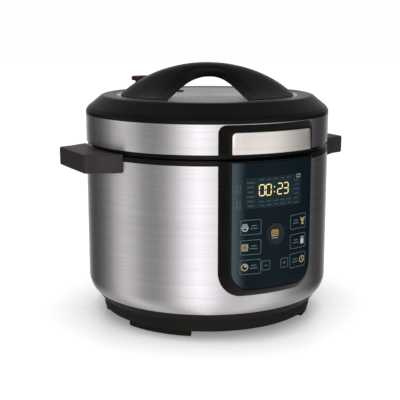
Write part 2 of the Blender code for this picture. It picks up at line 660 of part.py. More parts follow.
def build():
    clear_scene()
    make_base_pan()
    make_feet()
    make_base_screw()
    make_outer_shell()
    make_rim_ring()
    make_outer_pot()
    make_inner_pot()
    make_heater()
    make_sensor_spring()
    make_boards()
    make_side_handles()
    make_bezel()
    make_control_panel()
    make_inlet()
    make_collector()
    make_lid_dome()
    make_seal_parts()
    make_lid_cover()
    make_lid_handle()
    make_nameplate()
    make_valves()


build()
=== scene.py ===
"""The looks of the electric pressure cooker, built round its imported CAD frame.

Sizes are in millimetres, as in the CAD model, and are scaled to metres when a mesh is made.
Every mesh is made in place, in the frame's own coordinates: +Z is up, the control panel faces
-Y and azimuths are in degrees from the front, growing towards +X.
"""

import json
import math
from collections import namedtuple

import bmesh
import bpy
from mathutils import Matrix, Vector


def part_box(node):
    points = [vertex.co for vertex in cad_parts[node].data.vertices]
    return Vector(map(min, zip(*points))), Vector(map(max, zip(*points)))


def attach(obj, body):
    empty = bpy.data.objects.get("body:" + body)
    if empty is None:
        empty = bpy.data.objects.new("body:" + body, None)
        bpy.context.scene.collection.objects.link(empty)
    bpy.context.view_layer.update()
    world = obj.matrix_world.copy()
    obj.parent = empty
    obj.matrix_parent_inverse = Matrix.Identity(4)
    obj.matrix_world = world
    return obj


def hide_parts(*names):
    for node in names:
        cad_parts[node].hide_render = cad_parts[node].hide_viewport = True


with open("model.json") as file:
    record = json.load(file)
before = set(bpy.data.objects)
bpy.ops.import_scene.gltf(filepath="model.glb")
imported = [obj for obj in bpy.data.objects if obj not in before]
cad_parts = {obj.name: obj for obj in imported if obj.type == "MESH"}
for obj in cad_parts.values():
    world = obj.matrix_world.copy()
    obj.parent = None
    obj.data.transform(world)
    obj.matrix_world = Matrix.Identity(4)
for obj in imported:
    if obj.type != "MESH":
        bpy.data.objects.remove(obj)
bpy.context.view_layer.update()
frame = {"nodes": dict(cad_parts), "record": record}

MM = 0.001
GAP = 0.3                        # clearance between pieces that touch
ROUND_STEPS = 180                # facets round a large turned piece
SMALL_STEPS = 48                 # facets round a small one
FACET = 2.5                      # widest facet along the front panel's arc
SHARP_ANGLE = math.radians(32)


def low_mm(node):
    """The lowest corner of a CAD node's box, in millimetres."""
    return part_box(node)[0] / MM


def high_mm(node):
    """The highest corner of a CAD node's box, in millimetres."""
    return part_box(node)[1] / MM


# Driving sizes, read from the frame
BODY_RADIUS = high_mm("outer_shell").x
SHELL_BOTTOM = low_mm("outer_shell").z
SHELL_TOP = high_mm("outer_shell").z
LID_BOTTOM = low_mm("lid_band").z
BAND_TOP = high_mm("lid_band").z
PLATE_RADIUS = high_mm("lid_top_plate").x
PLATE_TOP = high_mm("lid_top_plate").z
SIDE_REACH = high_mm("side_handle_right").x
SIDE_TOP = high_mm("side_handle_right").z
SIDE_BOTTOM = low_mm("side_handle_right").z
FACE_RADIUS = -low_mm("control_bezel").y
FOOTPRINT_RADIUS = BODY_RADIUS + GAP
PANEL_RADIUS = FACE_RADIUS - 0.2
KEY_RADIUS = FACE_RADIUS - 0.1

# Sizes that the two scripts share
SHELL_CORNER = 26.0
CORNER_RISE = 16.0
RIM_LIP_TOP = 197.4
RIM_NECK_RADIUS = 136.0
SIDE_HALF_WIDTH = 52.0
LUG_COUNT = 8
EXHAUST_PLACE = (-47.1, 72.4)
KNOB_LEVER_AZIMUTH = -120.0
FLOAT_PLACE = (-5.5, 57.7)

# The arch handle stands askew on the lid. Each edge of it is a cubic curve from its middle to
# a root, with four control points of (along the handle, across it, height over its base).
# The middle's own place along the handle is how far that edge leans to one side.
HANDLE_TURN = -28.6
HANDLE_FOOT = 0.8
HANDLE_EDGES = (
    ((0.0, 0.0, 36.4), (45.0, 0.0, 36.4), (80.0, 0.0, 18.2), (99.5, 0.0, HANDLE_FOOT)),
    ((0.0, -9.0, 35.9), (44.0, -9.0, 36.2), (76.0, -22.0, 17.0), (97.0, -32.0, HANDLE_FOOT)),
    ((0.0, -15.5, 34.7), (40.0, -15.0, 36.2), (67.0, -34.0, 10.5), (83.0, -61.0, HANDLE_FOOT)),
    ((0.0, -19.0, 32.7), (34.0, -17.0, 36.2), (54.0, -40.0, 5.5), (61.0, -82.5, HANDLE_FOOT)),
    ((0.0, -21.0, 30.0), (31.0, -20.0, 32.7), (49.0, -40.0, 2.0), (54.0, -87.2, HANDLE_FOOT)),
    ((1.5, -20.5, 25.2), (27.0, -19.0, 27.2), (43.0, -39.0, 0.8), (48.0, -90.5, HANDLE_FOOT)),
    ((3.0, -17.5, 21.1), (22.0, -16.0, 21.7), (37.0, -38.0, 0.8), (42.5, -93.2, HANDLE_FOOT)),
    ((3.0, -8.0, 20.3), (22.0, -8.0, 20.7), (46.0, -24.0, 6.7), (50.0, -50.0, HANDLE_FOOT)),
    ((3.0, 8.0, 20.3), (22.0, 8.0, 20.7), (48.0, 0.0, 10.7), (56.0, -8.0, HANDLE_FOOT)),
    ((3.0, 17.5, 21.1), (22.0, 17.0, 21.7), (50.0, 17.0, 12.7), (57.0, 22.0, HANDLE_FOOT)),
    ((0.0, 21.0, 28.2), (32.0, 20.0, 29.2), (62.0, 22.0, 18.7), (74.0, 26.0, HANDLE_FOOT)),
    ((0.0, 18.0, 33.2), (38.0, 17.0, 34.7), (74.0, 20.0, 20.7), (90.0, 24.0, HANDLE_FOOT)),
    ((0.0, 9.0, 35.8), (44.0, 9.0, 36.1), (79.0, 11.0, 19.2), (98.0, 14.0, HANDLE_FOOT)),
)

# The camera, which looks at the front panel from its left and a little above
CAMERA_PLACE = (-0.5117, -0.9208, 0.3414)
CAMERA_AIM = (0.4695, 0.8606, -0.1983)
CAMERA_LENS = 80.8

BODY_OF = {node: body for body, nodes in frame["record"]["behaviour"]["bodies"].items() for node in nodes}

Patch = namedtuple("Patch", "middle half_width low high low_radius high_radius")

BEZEL_FOOTPRINT = Patch(0.0, 63.4, 51.5, RIM_LIP_TOP, 27.0, 0.0)
BEZEL_FACE = Patch(0.0, 51.2, 59.3, RIM_LIP_TOP, 22.0, 0.0)
HOUSING_FOOTPRINT = Patch(0.0, 63.4, LID_BOTTOM + GAP, 234.4, 0.0, 9.0)
HOUSING_FACE = Patch(0.0, 51.2, LID_BOTTOM + GAP, 228.5, 0.0, 6.0)
NAMEPLATE = Patch(0.0, 49.4, 204.6, 227.2, 0.0, 4.5)
WINDOW = Patch(0.0, 35.3, 147.2, 180.6, 1.5, 1.5)
FILM_REFLECTION_EDGE = -50.0               # where the painted reflection on the panel films is palest, and over what width that fades
FILM_REFLECTION_FADE = 19.0


# ---- materials -------------------------------------------------------------------------

def add_node(tree, kind, inputs=(), **settings):
    """A node with its settings, whose inputs are values or other nodes' outputs."""
    node = tree.nodes.new("ShaderNode" + kind)
    for key, value in settings.items():
        setattr(node, key, value)
    for index, value in enumerate(inputs):
        if isinstance(value, bpy.types.NodeSocket):
            tree.links.new(value, node.inputs[index])
        elif value is not None:
            node.inputs[index].default_value = value
    return node


class Surface:
    """A Principled material, and the nodes that vary it over the surface."""

    def __init__(self, name, colour, roughness, metallic=0.0, **sockets):
        self.material = bpy.data.materials.new(name)
        self.material.use_nodes = True
        self.tree = self.material.node_tree
        self.shader = self.tree.nodes["Principled BSDF"]
        self.colour = colour
        self.set_socket("Base Color", (*colour, 1.0))
        self.set_socket("Roughness", roughness)
        self.set_socket("Metallic", metallic)
        for socket, value in sockets.items():
            self.set_socket(socket.replace("_", " "), value)
        self.last_bump = None

    def set_socket(self, name, value):
        self.shader.inputs[name].default_value = value

    def add(self, kind, inputs=(), **settings):
        return add_node(self.tree, kind, inputs, **settings)

    def place(self, scale):
        """The object's coordinates, multiplied along each axis."""
        coordinates = self.add("TexCoord").outputs["Object"]
        return self.add("VectorMath", (coordinates, scale), operation="MULTIPLY").outputs[0]

    def straight_place(self, along, across):
        """Coordinates for marks that run round the Z axis on an upright face."""
        return self.place((along, along, across))

    def radial_place(self, along, across):
        """Coordinates for marks that run round the Z axis on a flat face."""
        flat = self.place((1.0, 1.0, 0.0))
        reach = self.add("VectorMath", (flat,), operation="LENGTH").outputs["Value"]
        ring = self.add("Math", (reach, across), operation="MULTIPLY").outputs[0]
        drift = self.add("SeparateXYZ", (self.place((along, along, along)),))
        return self.add("CombineXYZ", (drift.outputs[0], drift.outputs[1], ring)).outputs[0]

    def noise(self, place, detail=3.0):
        node = self.add("TexNoise", (place,))
        node.inputs["Scale"].default_value = 1.0
        node.inputs["Detail"].default_value = detail
        return node.outputs["Fac"]

    def grain(self, scale, detail=3.0):
        """Noise of the same scale along every axis."""
        return self.noise(self.place((scale, scale, scale)), detail)

    def spread(self, factor, low, high):
        """A factor's useful middle range, mapped to two values."""
        node = self.add("MapRange", (factor, 0.3, 0.7, low, high))
        return node.outputs[0]

    def vary_roughness(self, factor, low, high):
        self.tree.links.new(self.spread(factor, low, high), self.shader.inputs["Roughness"])

    def vary_colour(self, factor, change):
        """Darkens and lightens the base colour by a share of itself."""
        ramp = self.add("ValToRGB", (factor,))
        ramp.color_ramp.elements[0].position = 0.3
        ramp.color_ramp.elements[1].position = 0.7
        ramp.color_ramp.elements[0].color = (*[c * (1.0 - change) for c in self.colour], 1.0)
        ramp.color_ramp.elements[1].color = (*[min(c * (1.0 + change), 1.0) for c in self.colour], 1.0)
        self.tree.links.new(ramp.outputs["Color"], self.shader.inputs["Base Color"])

    def painted_reflection_sideways(self, colour, start, end):
        """Adds a colour that dies away between two places along X: a painted reflection, palest at the start.
        """
        across = self.add("SeparateXYZ", (self.add("TexCoord").outputs["Object"],)).outputs["X"]
        share = self.add("MapRange", (across, start, end, 1.0, 0.0), interpolation_type="SMOOTHERSTEP")
        mix = self.add("Mix", (share.outputs[0],), data_type="RGBA", blend_type="ADD")
        base = self.shader.inputs["Base Color"]
        self.tree.links.new(base.links[0].from_socket, mix.inputs[6])
        mix.inputs[7].default_value = (*colour, 1.0)
        self.tree.links.new(mix.outputs[2], base)

    def bump(self, factor, depth, strength=1.0):
        """Raises the surface by a depth in millimetres."""
        node = self.add("Bump")
        node.inputs["Strength"].default_value = strength
        node.inputs["Distance"].default_value = depth * MM
        self.tree.links.new(factor, node.inputs["Height"])
        if self.last_bump:
            self.tree.links.new(self.last_bump, node.inputs["Normal"])
        self.last_bump = node.outputs["Normal"]
        self.tree.links.new(self.last_bump, self.shader.inputs["Normal"])


def brushed(name, colour, roughness, anisotropy, disc=False):
    """Metal brushed round the Z axis: streaks that are long round it and fine across it."""
    surface = Surface(name, colour, roughness, 1.0, Anisotropic=anisotropy, Anisotropic_Rotation=0.25)
    place = surface.radial_place if disc else surface.straight_place
    streaks = surface.noise(place(14.0, 1500.0), 2.0)
    bands = surface.noise(place(5.0, 260.0), 4.0)
    surface.vary_colour(bands, 0.045)
    surface.vary_roughness(streaks, roughness - 0.05, roughness + 0.06)
    surface.bump(streaks, 0.010, 0.35)
    return surface.material


def rolled_metal(name, colour, roughness):
    """Plain drawn or cast metal, with faint cloudy marks."""
    surface = Surface(name, colour, roughness, 1.0)
    clouds = surface.grain(60.0, 5.0)
    grain = surface.grain(1800.0, 2.0)
    surface.vary_colour(clouds, 0.06)
    surface.vary_roughness(clouds, roughness - 0.06, roughness + 0.08)
    surface.bump(grain, 0.012, 0.3)
    return surface.material


def moulded(name, colour, roughness, grain_depth, shine=0.5, grain_scale=1500.0):
    """Moulded plastic or rubber: an even spark-eroded grain under slight wear and dust."""
    surface = Surface(name, colour, roughness, Specular_IOR_Level=shine)
    wear = surface.grain(28.0, 6.0)
    grain = surface.grain(grain_scale, 2.0)
    surface.vary_colour(wear, 0.14)
    surface.vary_roughness(wear, roughness - 0.04, roughness + 0.06)
    surface.bump(grain, grain_depth, 0.5)
    return surface.material


def glossy_film(name, colour, roughness, shine=0.10):
    """The panel's printed film: smooth and very slightly wavy, with a painted reflection that makes it paler
    towards its left edge.
    """
    surface = Surface(name, colour, roughness, Specular_IOR_Level=shine)
    waves = surface.grain(40.0, 2.0)
    dust = surface.grain(700.0, 3.0)
    surface.vary_colour(waves, 0.10)
    # the paler colour towards the left edge is a painted reflection, laid on every film of the panel
    surface.painted_reflection_sideways((0.050, 0.072, 0.078), FILM_REFLECTION_EDGE * MM, (FILM_REFLECTION_EDGE + FILM_REFLECTION_FADE) * MM)
    surface.vary_roughness(dust, roughness - 0.02, roughness + 0.05)
    surface.bump(waves, 0.03, 0.2)
    return surface.material


def printed_ink(name, colour, lit_and_painted_glow=0.0):
    """Screen-printed ink with a slightly uneven edge to its tone, or a lit segment. A glow on a printed ink
    is painted light; only a lit segment shines as a real lamp.
    """
    surface = Surface(name, colour, 0.5, Emission_Color=(*colour, 1.0), Emission_Strength=lit_and_painted_glow)
    speckle = surface.grain(2500.0, 2.0)
    surface.vary_colour(speckle, 0.08)
    surface.vary_roughness(speckle, 0.42, 0.55)
    return surface.material


def clear_silicone(name, colour, roughness):
    surface = Surface(name, colour, roughness, Subsurface_Weight=0.35, Subsurface_Scale=0.004)
    clouds = surface.grain(90.0, 4.0)
    surface.vary_colour(clouds, 0.05)
    surface.vary_roughness(clouds, roughness - 0.05, roughness + 0.08)
    surface.bump(surface.grain(900.0), 0.02, 0.3)
    return surface.material


# Each maker's finishes: colour, roughness, and what else the maker asks for
FINISHES = {
    brushed: {
        "body_steel": ((0.640, 0.622, 0.640), 0.27, 0.72),
        "plate_top_steel": ((0.620, 0.610, 0.612), 0.30, 0.35, True),
        "nameplate_steel": ((0.930, 0.880, 0.815), 0.34, 0.40),
    },
    rolled_metal: {
        "inner_steel": ((0.840, 0.830, 0.815), 0.34),
        "screw_steel": ((0.480, 0.480, 0.470), 0.34),
        "cast_aluminium": ((0.740, 0.740, 0.750), 0.46),
        "pin_brass": ((0.760, 0.590, 0.300), 0.30),
    },
    moulded: {
        "gloss_black": ((0.0030, 0.0028, 0.0022), 0.28, 0.010, 0.15, 900.0),
        "handle_black": ((0.0032, 0.0029, 0.0024), 0.38, 0.030, 0.15),
        "side_brown": ((0.0200, 0.0160, 0.0140), 0.42, 0.035, 0.35),
        "base_black": ((0.0085, 0.0080, 0.0056), 0.50, 0.045, 0.12),
        "pad_rubber": ((0.0100, 0.0092, 0.0070), 0.70, 0.060, 0.12, 1100.0),
        "knob_red": ((0.0300, 0.0080, 0.0055), 0.38, 0.025, 0.25),
        "inlet_black": ((0.0160, 0.0160, 0.0155), 0.48, 0.040),
        "board_green": ((0.0200, 0.1000, 0.0420), 0.50, 0.020),
        "pale_plastic": ((0.5200, 0.5200, 0.4800), 0.45, 0.020),
    },
    glossy_film: {
        "panel_film": ((0.0004, 0.0070, 0.0115), 0.20),
        "key_film": ((0.0005, 0.0074, 0.0120), 0.22),
        "button_film": ((0.0040, 0.0110, 0.0135), 0.24, 0.24),
        "window_film": ((0.0070, 0.0200, 0.0270), 0.16),
    },
    printed_ink: {
        "ink_outline": ((0.0720, 0.1250, 0.1450),),
        "ink_ghost": ((0.0240, 0.0460, 0.0560),),
        # ink_cream, ink_white and ink_yellow glow a little: painted light, as printed ink gives no light
        "ink_cream": ((0.4200, 0.3700, 0.1900), 0.05),
        "ink_white": ((0.4400, 0.5000, 0.5200), 0.08),
        "ink_yellow": ((0.5200, 0.3400, 0.0900), 0.10),
        "lit_segment": ((0.8600, 0.7200, 0.3000), 0.42),
    },
    clear_silicone: {
        "seal_silicone": ((0.660, 0.665, 0.650), 0.42),
        "red_silicone": ((0.480, 0.045, 0.030), 0.45),
    },
}
MATERIALS = {name: maker(name, *values)
             for maker, table in FINISHES.items() for name, values in table.items()}


# ---- mesh tools ------------------------------------------------------------------------

def make_object(name, mesh, *finishes):
    """Turns a bmesh in millimetres into an object at the frame's origin."""
    bmesh.ops.scale(mesh, verts=mesh.verts, vec=(MM, MM, MM))
    bmesh.ops.recalc_face_normals(mesh, faces=mesh.faces)
    if mesh.calc_volume(signed=True) < 0.0:
        bmesh.ops.reverse_faces(mesh, faces=mesh.faces)
    data = bpy.data.meshes.new(name)
    mesh.to_mesh(data)
    mesh.free()
    data.shade_smooth()
    data.set_sharp_from_angle(angle=SHARP_ANGLE)
    for finish in finishes:
        data.materials.append(MATERIALS[finish])
    piece = bpy.data.objects.new(name, data)
    bpy.context.scene.collection.objects.link(piece)
    return piece


def cut(piece, *meshes):
    """Cuts meshes out of a piece for good, by Booleans whose cutters are then removed."""
    for mesh in meshes:
        cutter = make_object(piece.name + "_cutter", mesh)
        modifier = piece.modifiers.new("cut", "BOOLEAN")
        modifier.operation = "DIFFERENCE"
        modifier.solver = "EXACT"
        modifier.object = cutter
        bpy.context.view_layer.update()
        evaluated = piece.evaluated_get(bpy.context.evaluated_depsgraph_get())
        data = bpy.data.meshes.new_from_object(evaluated)
        piece.modifiers.clear()
        piece.data = data
        bpy.data.objects.remove(cutter, do_unlink=True)
    piece.data.shade_smooth()
    piece.data.set_sharp_from_angle(angle=SHARP_ANGLE)


def skin(node, name, mesh, finish, *cutters):
    """A piece that takes a CAD node's place: its body and its look."""
    piece = make_object(name, mesh, finish)
    if cutters:
        cut(piece, *cutters)
    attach(piece, BODY_OF[node])
    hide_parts(node)


def detail(node, name, mesh, *finishes):
    """An extra piece, on the body of a CAD node."""
    piece = make_object(name, mesh, *finishes)
    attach(piece, BODY_OF[node])


def polar(azimuth, radius, height):
    angle = math.radians(azimuth)
    return Vector((radius * math.sin(angle), -radius * math.cos(angle), height))


def softened(points, steps=4):
    """A closed outline with rounded corners.

    Each point is (x, y) for a sharp corner or (x, y, reach) for one that is rounded from that
    far along its two edges.
    """
    outline = []
    for index, point in enumerate(points):
        corner = Vector(point[:2])
        reach = point[2] if len(point) > 2 else 0.0
        if not reach:
            outline.append(corner)
            continue
        before = Vector(points[index - 1][:2]) - corner
        after = Vector(points[(index + 1) % len(points)][:2]) - corner
        start = corner + before.normalized() * min(reach, before.length * 0.49)
        end = corner + after.normalized() * min(reach, after.length * 0.49)
        for step in range(steps + 1):
            t = step / steps
            outline.append(start * (1 - t) ** 2 + corner * 2 * t * (1 - t) + end * t ** 2)
    return outline


def turned(profile, steps=ROUND_STEPS, centre=(0.0, 0.0), start=0.0, sweep=360.0):
    """A closed outline of (radius, height) swept about a vertical axis.

    The profile is a list, or a function that gives the list at an azimuth.
    """
    outline = profile if callable(profile) else lambda azimuth: profile
    full = sweep == 360.0
    count = steps if full else steps + 1
    place = Vector((centre[0], centre[1], 0.0))
    mesh = bmesh.new()
    on_axis = {}
    rows = []
    for turn in range(count):
        azimuth = start + sweep * turn / steps
        row = []
        for index, (radius, height) in enumerate(outline(azimuth)):
            if radius > 1e-6:
                row.append(mesh.verts.new(place + polar(azimuth, radius, height)))
                continue
            if index not in on_axis:
                on_axis[index] = mesh.verts.new(place + Vector((0.0, 0.0, height)))
            row.append(on_axis[index])
        rows.append(row)
    for turn in range(steps):
        here = rows[turn]
        there = rows[(turn + 1) % count]
        for k in range(len(here)):
            after = (k + 1) % len(here)
            corners = list(dict.fromkeys([here[k], here[after], there[after], there[k]]))
            if len(corners) > 2:
                mesh.faces.new(corners)
    if not full:
        mesh.faces.new(rows[0])
        mesh.faces.new(rows[-1])
    return mesh


def lofted(loops, ring=False, flat_ends=False):
    """A solid through loops of equal length, with its ends closed unless it is a ring."""
    mesh = bmesh.new()
    rows = [[mesh.verts.new(point) for point in loop] for loop in loops]
    pairs = list(zip(rows, rows[1:]))
    if ring:
        pairs.append((rows[-1], rows[0]))
    for here, there in pairs:
        for k in range(len(here)):
            after = (k + 1) % len(here)
            mesh.faces.new((here[k], here[after], there[after], there[k]))
    for row in [] if ring else [rows[0], rows[-1]]:
        if flat_ends:
            mesh.faces.new(row)
            continue
        for k in range(len(row) // 2 - 1):
            mesh.faces.new((row[k], row[k + 1], row[-k - 2], row[-k - 1]))
    return mesh


def block(low, high):
    """A box between two corners."""
    low = Vector(low)
    high = Vector(high)
    mesh = bmesh.new()
    place = Matrix.Translation((low + high) / 2) @ Matrix.Diagonal((*(high - low), 1.0))
    bmesh.ops.create_cube(mesh, size=1.0, matrix=place)
    return mesh


def soft_block(low, high, softness, segments=3):
    """A box with rounded edges."""
    mesh = block(low, high)
    bmesh.ops.bevel(mesh, geom=mesh.edges[:], offset=softness, segments=segments, profile=0.5,
                    affect="EDGES")
    return mesh


def rod(low, high, radius, centre=(0.0, 0.0), steps=SMALL_STEPS):
    """A vertical cylinder."""
    place = Vector((centre[0], centre[1], 0.0))
    azimuths = [360.0 * step / steps for step in range(steps)]
    loops = [[place + polar(azimuth, radius, height) for azimuth in azimuths] for height in (low, high)]
    return lofted(loops, flat_ends=True)


def merge(meshes):
    """Several separate solids in one mesh."""
    whole = bmesh.new()
    for mesh in meshes:
        data = bpy.data.meshes.new("merge")
        mesh.to_mesh(data)
        mesh.free()
        whole.from_mesh(data)
        bpy.data.meshes.remove(data)
    return whole


# ---- shapes wrapped round the front panel's cylinder -----------------------------------

def inset(patch, amount):
    """The same patch with every edge moved in, or out where the amount is negative."""
    def smaller(radius):
        return max(radius - amount, 0.4) if radius else 0.0

    return Patch(patch.middle, patch.half_width - amount, patch.low + amount,
                 patch.high - amount, smaller(patch.low_radius), smaller(patch.high_radius))


def between(first, second, part):
    """A patch part of the way from one patch to another."""
    return Patch(*[a + (b - a) * part for a, b in zip(first, second)])


def column_places(patch):
    """Places across a patch, from -1 to 1 of its half width, closer together in its corners."""
    radius = max(patch.low_radius, patch.high_radius, 0.4)
    corner = radius / patch.half_width
    corner_steps = 12 if radius > 6.0 else 6
    places = []
    for step in range(corner_steps):
        turn = math.pi / 2 * step / corner_steps
        places.append(1.0 - corner * (1.0 - math.cos(turn)))
    inner = 1.0 - corner
    inner_steps = max(math.ceil(inner * patch.half_width / FACET), 1)
    for step in range(inner_steps + 1):
        places.append(inner * (1.0 - step / inner_steps))
    return [-place for place in places] + places[-2::-1]


def corner_drop(distance, radius):
    """How far a rounded corner stands back from its edge, at a distance from the side."""
    if distance >= radius:
        return 0.0
    return radius - math.sqrt(radius ** 2 - (radius - distance) ** 2)


def on_panel(along, height, radius):
    """The point at a length along the panel's arc, a height and a radius."""
    return polar(math.degrees(along / FACE_RADIUS), radius, height)


def patch_loop(patch, places, radius):
    """A patch's outline at a radius: its low edge from -X to +X, then its high edge back."""
    low_edge = []
    high_edge = []
    for place in places:
        offset = patch.half_width * place
        distance = patch.half_width - abs(offset)
        along = patch.middle + offset
        low_edge.append(on_panel(along, patch.low + corner_drop(distance, patch.low_radius), radius))
        high_edge.append(on_panel(along, patch.high - corner_drop(distance, patch.high_radius), radius))
    return low_edge + high_edge[::-1]


def wrapped(layers, ring=False):
    """A solid through patches, each at its own radius."""
    places = column_places(layers[0][0])
    return lofted([patch_loop(patch, places, radius) for patch, radius in layers], ring)


def slab_layers(patch, inner, outer, softness):
    """Layers of a wrapped slab whose outer edge is rounded."""
    return [(patch, inner), (patch, outer - softness),
            (inset(patch, softness * 0.3), outer - softness * 0.3), (inset(patch, softness), outer)]


def stepped(points, closed):
    """A line with points added along it, so that it can follow the panel's curve."""
    ends = points[1:] + points[:1] if closed else points[1:]
    steps = []
    for start, end in zip(points, ends):
        parts = max(1, math.ceil((end - start).length / 3.0))
        steps += [start.lerp(end, part / parts) for part in range(parts)]
    return steps if closed else [*steps, points[-1]]


class Print:
    """Thin printed marks on the panel, laid out by arc length and height from an origin."""

    THICKNESS = 0.07

    def __init__(self, radius, x=0.0, z=0.0):
        self.mesh = bmesh.new()
        self.radius = radius
        self.origin = (x, z)
        self.finishes = []

    def add_face(self, corners, index):
        face = self.mesh.faces.new(corners)
        face.material_index = index

    def finish_index(self, finish):
        if finish not in self.finishes:
            self.finishes.append(finish)
        return self.finishes.index(finish)

    def columns(self, points):
        """The lower and upper vertex of each point of an outline."""
        depths = (self.radius, self.radius + self.THICKNESS)
        along, up = self.origin
        return [[self.mesh.verts.new(on_panel(along + x, up + z, depth)) for depth in depths]
                for x, z in points]

    def shape(self, points, finish):
        """A filled outline."""
        index = self.finish_index(finish)
        posts = self.columns(points)
        for here, there in zip(posts, posts[1:] + posts[:1]):
            self.add_face((here[0], there[0], there[1], here[1]), index)
        self.add_face([post[1] for post in posts], index)
        self.add_face([post[0] for post in posts][::-1], index)

    def stroke(self, points, width, finish, closed=False):
        """A line of even width along points."""
        index = self.finish_index(finish)
        path = stepped([Vector(point) for point in points], closed)
        sides = ([], [])
        for k, point in enumerate(path):
            ahead = path[(k + 1) % len(path)] if closed or k + 1 < len(path) else point
            behind = path[k - 1] if closed or k else point
            run_in = (point - behind).normalized() if point != behind else (ahead - point).normalized()
            run_out = (ahead - point).normalized() if ahead != point else run_in
            mitre = (run_in + run_out).normalized()
            across = Vector((-mitre.y, mitre.x))
            reach = width / 2 / max(mitre.dot(run_in), 0.5)
            sides[0].append(point + across * reach)
            sides[1].append(point - across * reach)
        left = self.columns(sides[0])
        right = self.columns(sides[1])
        spans = len(path) if closed else len(path) - 1
        for k in range(spans):
            n = (k + 1) % len(path)
            self.add_face((left[k][1], left[n][1], right[n][1], right[k][1]), index)
            self.add_face((left[k][0], right[k][0], right[n][0], left[n][0]), index)
            self.add_face((left[k][0], left[n][0], left[n][1], left[k][1]), index)
            self.add_face((right[k][0], right[k][1], right[n][1], right[n][0]), index)
        if not closed:
            for k in (0, -1):
                self.add_face((left[k][0], left[k][1], right[k][1], right[k][0]), index)

    def bar(self, x, z, width, height, finish):
        """A filled rectangle with its middle at a place."""
        half = width / 2
        rise = height / 2
        self.shape([(x - half, z - rise), (x + half, z - rise), (x + half, z + rise), (x - half, z + rise)],
                   finish)

    def ring(self, radius, width, finish):
        self.stroke(circle(0.0, 0.0, radius, 20), width, finish, closed=True)

    def make(self, node, name):
        detail(node, name, self.mesh, *self.finishes)


def circle(x, z, radius, steps, start=0.0, sweep=360.0):
    """Points round a circle, or along an arc of it."""
    count = steps if sweep == 360.0 else steps + 1
    turns = [math.radians(start + sweep * step / steps) for step in range(count)]
    return [(x + radius * math.cos(turn), z + radius * math.sin(turn)) for turn in turns]


def rounded_box(patch):
    """A patch's outline as flat points, for a printed line."""
    radius = max(patch.low_radius, 0.4)
    left = patch.middle - patch.half_width
    right = patch.middle + patch.half_width
    low = patch.low + radius
    high = patch.high - radius
    corners = ((right - radius, low, -90.0), (right - radius, high, 0.0),
               (left + radius, high, 90.0), (left + radius, low, 180.0))
    return [point for x, z, start in corners for point in circle(x, z, radius, 5, start, 90.0)]


# ---- the body --------------------------------------------------------------------------

def shell_corner(radius):
    """The rounded lower edge, from the vertical side down to the shell's bottom."""
    centre_radius = BODY_RADIUS - SHELL_CORNER
    centre_height = SHELL_BOTTOM + CORNER_RISE
    last = math.asin(CORNER_RISE / radius)
    turns = [last * step / 14 for step in range(15)]
    return [Vector((centre_radius + radius * math.cos(turn), centre_height - radius * math.sin(turn)))
            for turn in turns]


def make_outer_shell():
    inner = BODY_RADIUS - 1.0
    profile = [Vector((BODY_RADIUS, SHELL_TOP)), *shell_corner(SHELL_CORNER),
               *shell_corner(SHELL_CORNER - 1.0)[::-1], Vector((inner, SHELL_TOP))]
    inlet_hole = block((-17.5, 125.0, 49.5), (17.5, 150.0, 74.5))
    skin("outer_shell", "shell_skin", turned(profile), "body_steel", inlet_hole)


def make_rim_ring():
    profile = softened([
        (BODY_RADIUS, RIM_LIP_TOP, 0.9), (BODY_RADIUS, SHELL_TOP + GAP, 0.5), (139.4, SHELL_TOP + GAP),
        (139.4, 188.2), (137.4, 188.2), (137.4, 193.0), (132.4, 193.0), (132.4, 206.0, 0.5),
        (RIM_NECK_RADIUS, 206.0, 0.8), (RIM_NECK_RADIUS, RIM_LIP_TOP + 1.0, 0.9),
        (RIM_NECK_RADIUS + 1.4, RIM_LIP_TOP)])
    skin("rim_ring", "rim_skin", turned(profile), "gloss_black")


def make_base_pan():
    """The pan, with its olive-black wall, flared band and a ring of vent slots underneath."""
    profile = softened([
        (2.3, 8.0), (119.3, 8.0, 0.6), (120.3, 6.7, 0.4), (123.5, 6.7, 0.8), (124.7, 18.6, 0.5),
        (125.2, 19.6, 0.3), (127.4, 20.0, 0.8), (134.9, 29.6, 0.5), (133.2, 29.6), (133.2, 36.0),
        (131.0, 36.0), (130.6, 30.0, 2.0), (122.0, 20.0, 2.0), (121.0, 10.5), (2.3, 10.5)])
    slots = []
    for ring, count in ((58.0, 16), (78.0, 20), (98.0, 28)):
        for number in range(count):
            turn = Matrix.Rotation(math.radians(360.0 * number / count), 4, "Z")
            slot = block((ring - 6.5, -1.5, 5.0), (ring + 6.5, 1.5, 13.0))
            bmesh.ops.transform(slot, verts=slot.verts, matrix=turn)
            slots.append(slot)
    skin("base_pan", "base_pan_skin", turned(profile), "base_black", merge(slots))


def make_feet():
    profile = softened([
        (113.0, 0.0, 0.8), (120.5, 0.0, 0.6), (122.2, 1.6, 0.8), (122.3, 6.4), (119.0, 6.4),
        (119.0, 7.7), (113.0, 7.7, 0.5)])
    for name, azimuth in {"front_left": -56.0, "front_right": 56.0, "rear_left": -124.0,
                          "rear_right": 124.0}.items():
        sector = turned(profile, 16, start=azimuth - 18.5, sweep=37.0)
        skin("foot_" + name, f"foot_{name}_skin", sector, "pad_rubber")


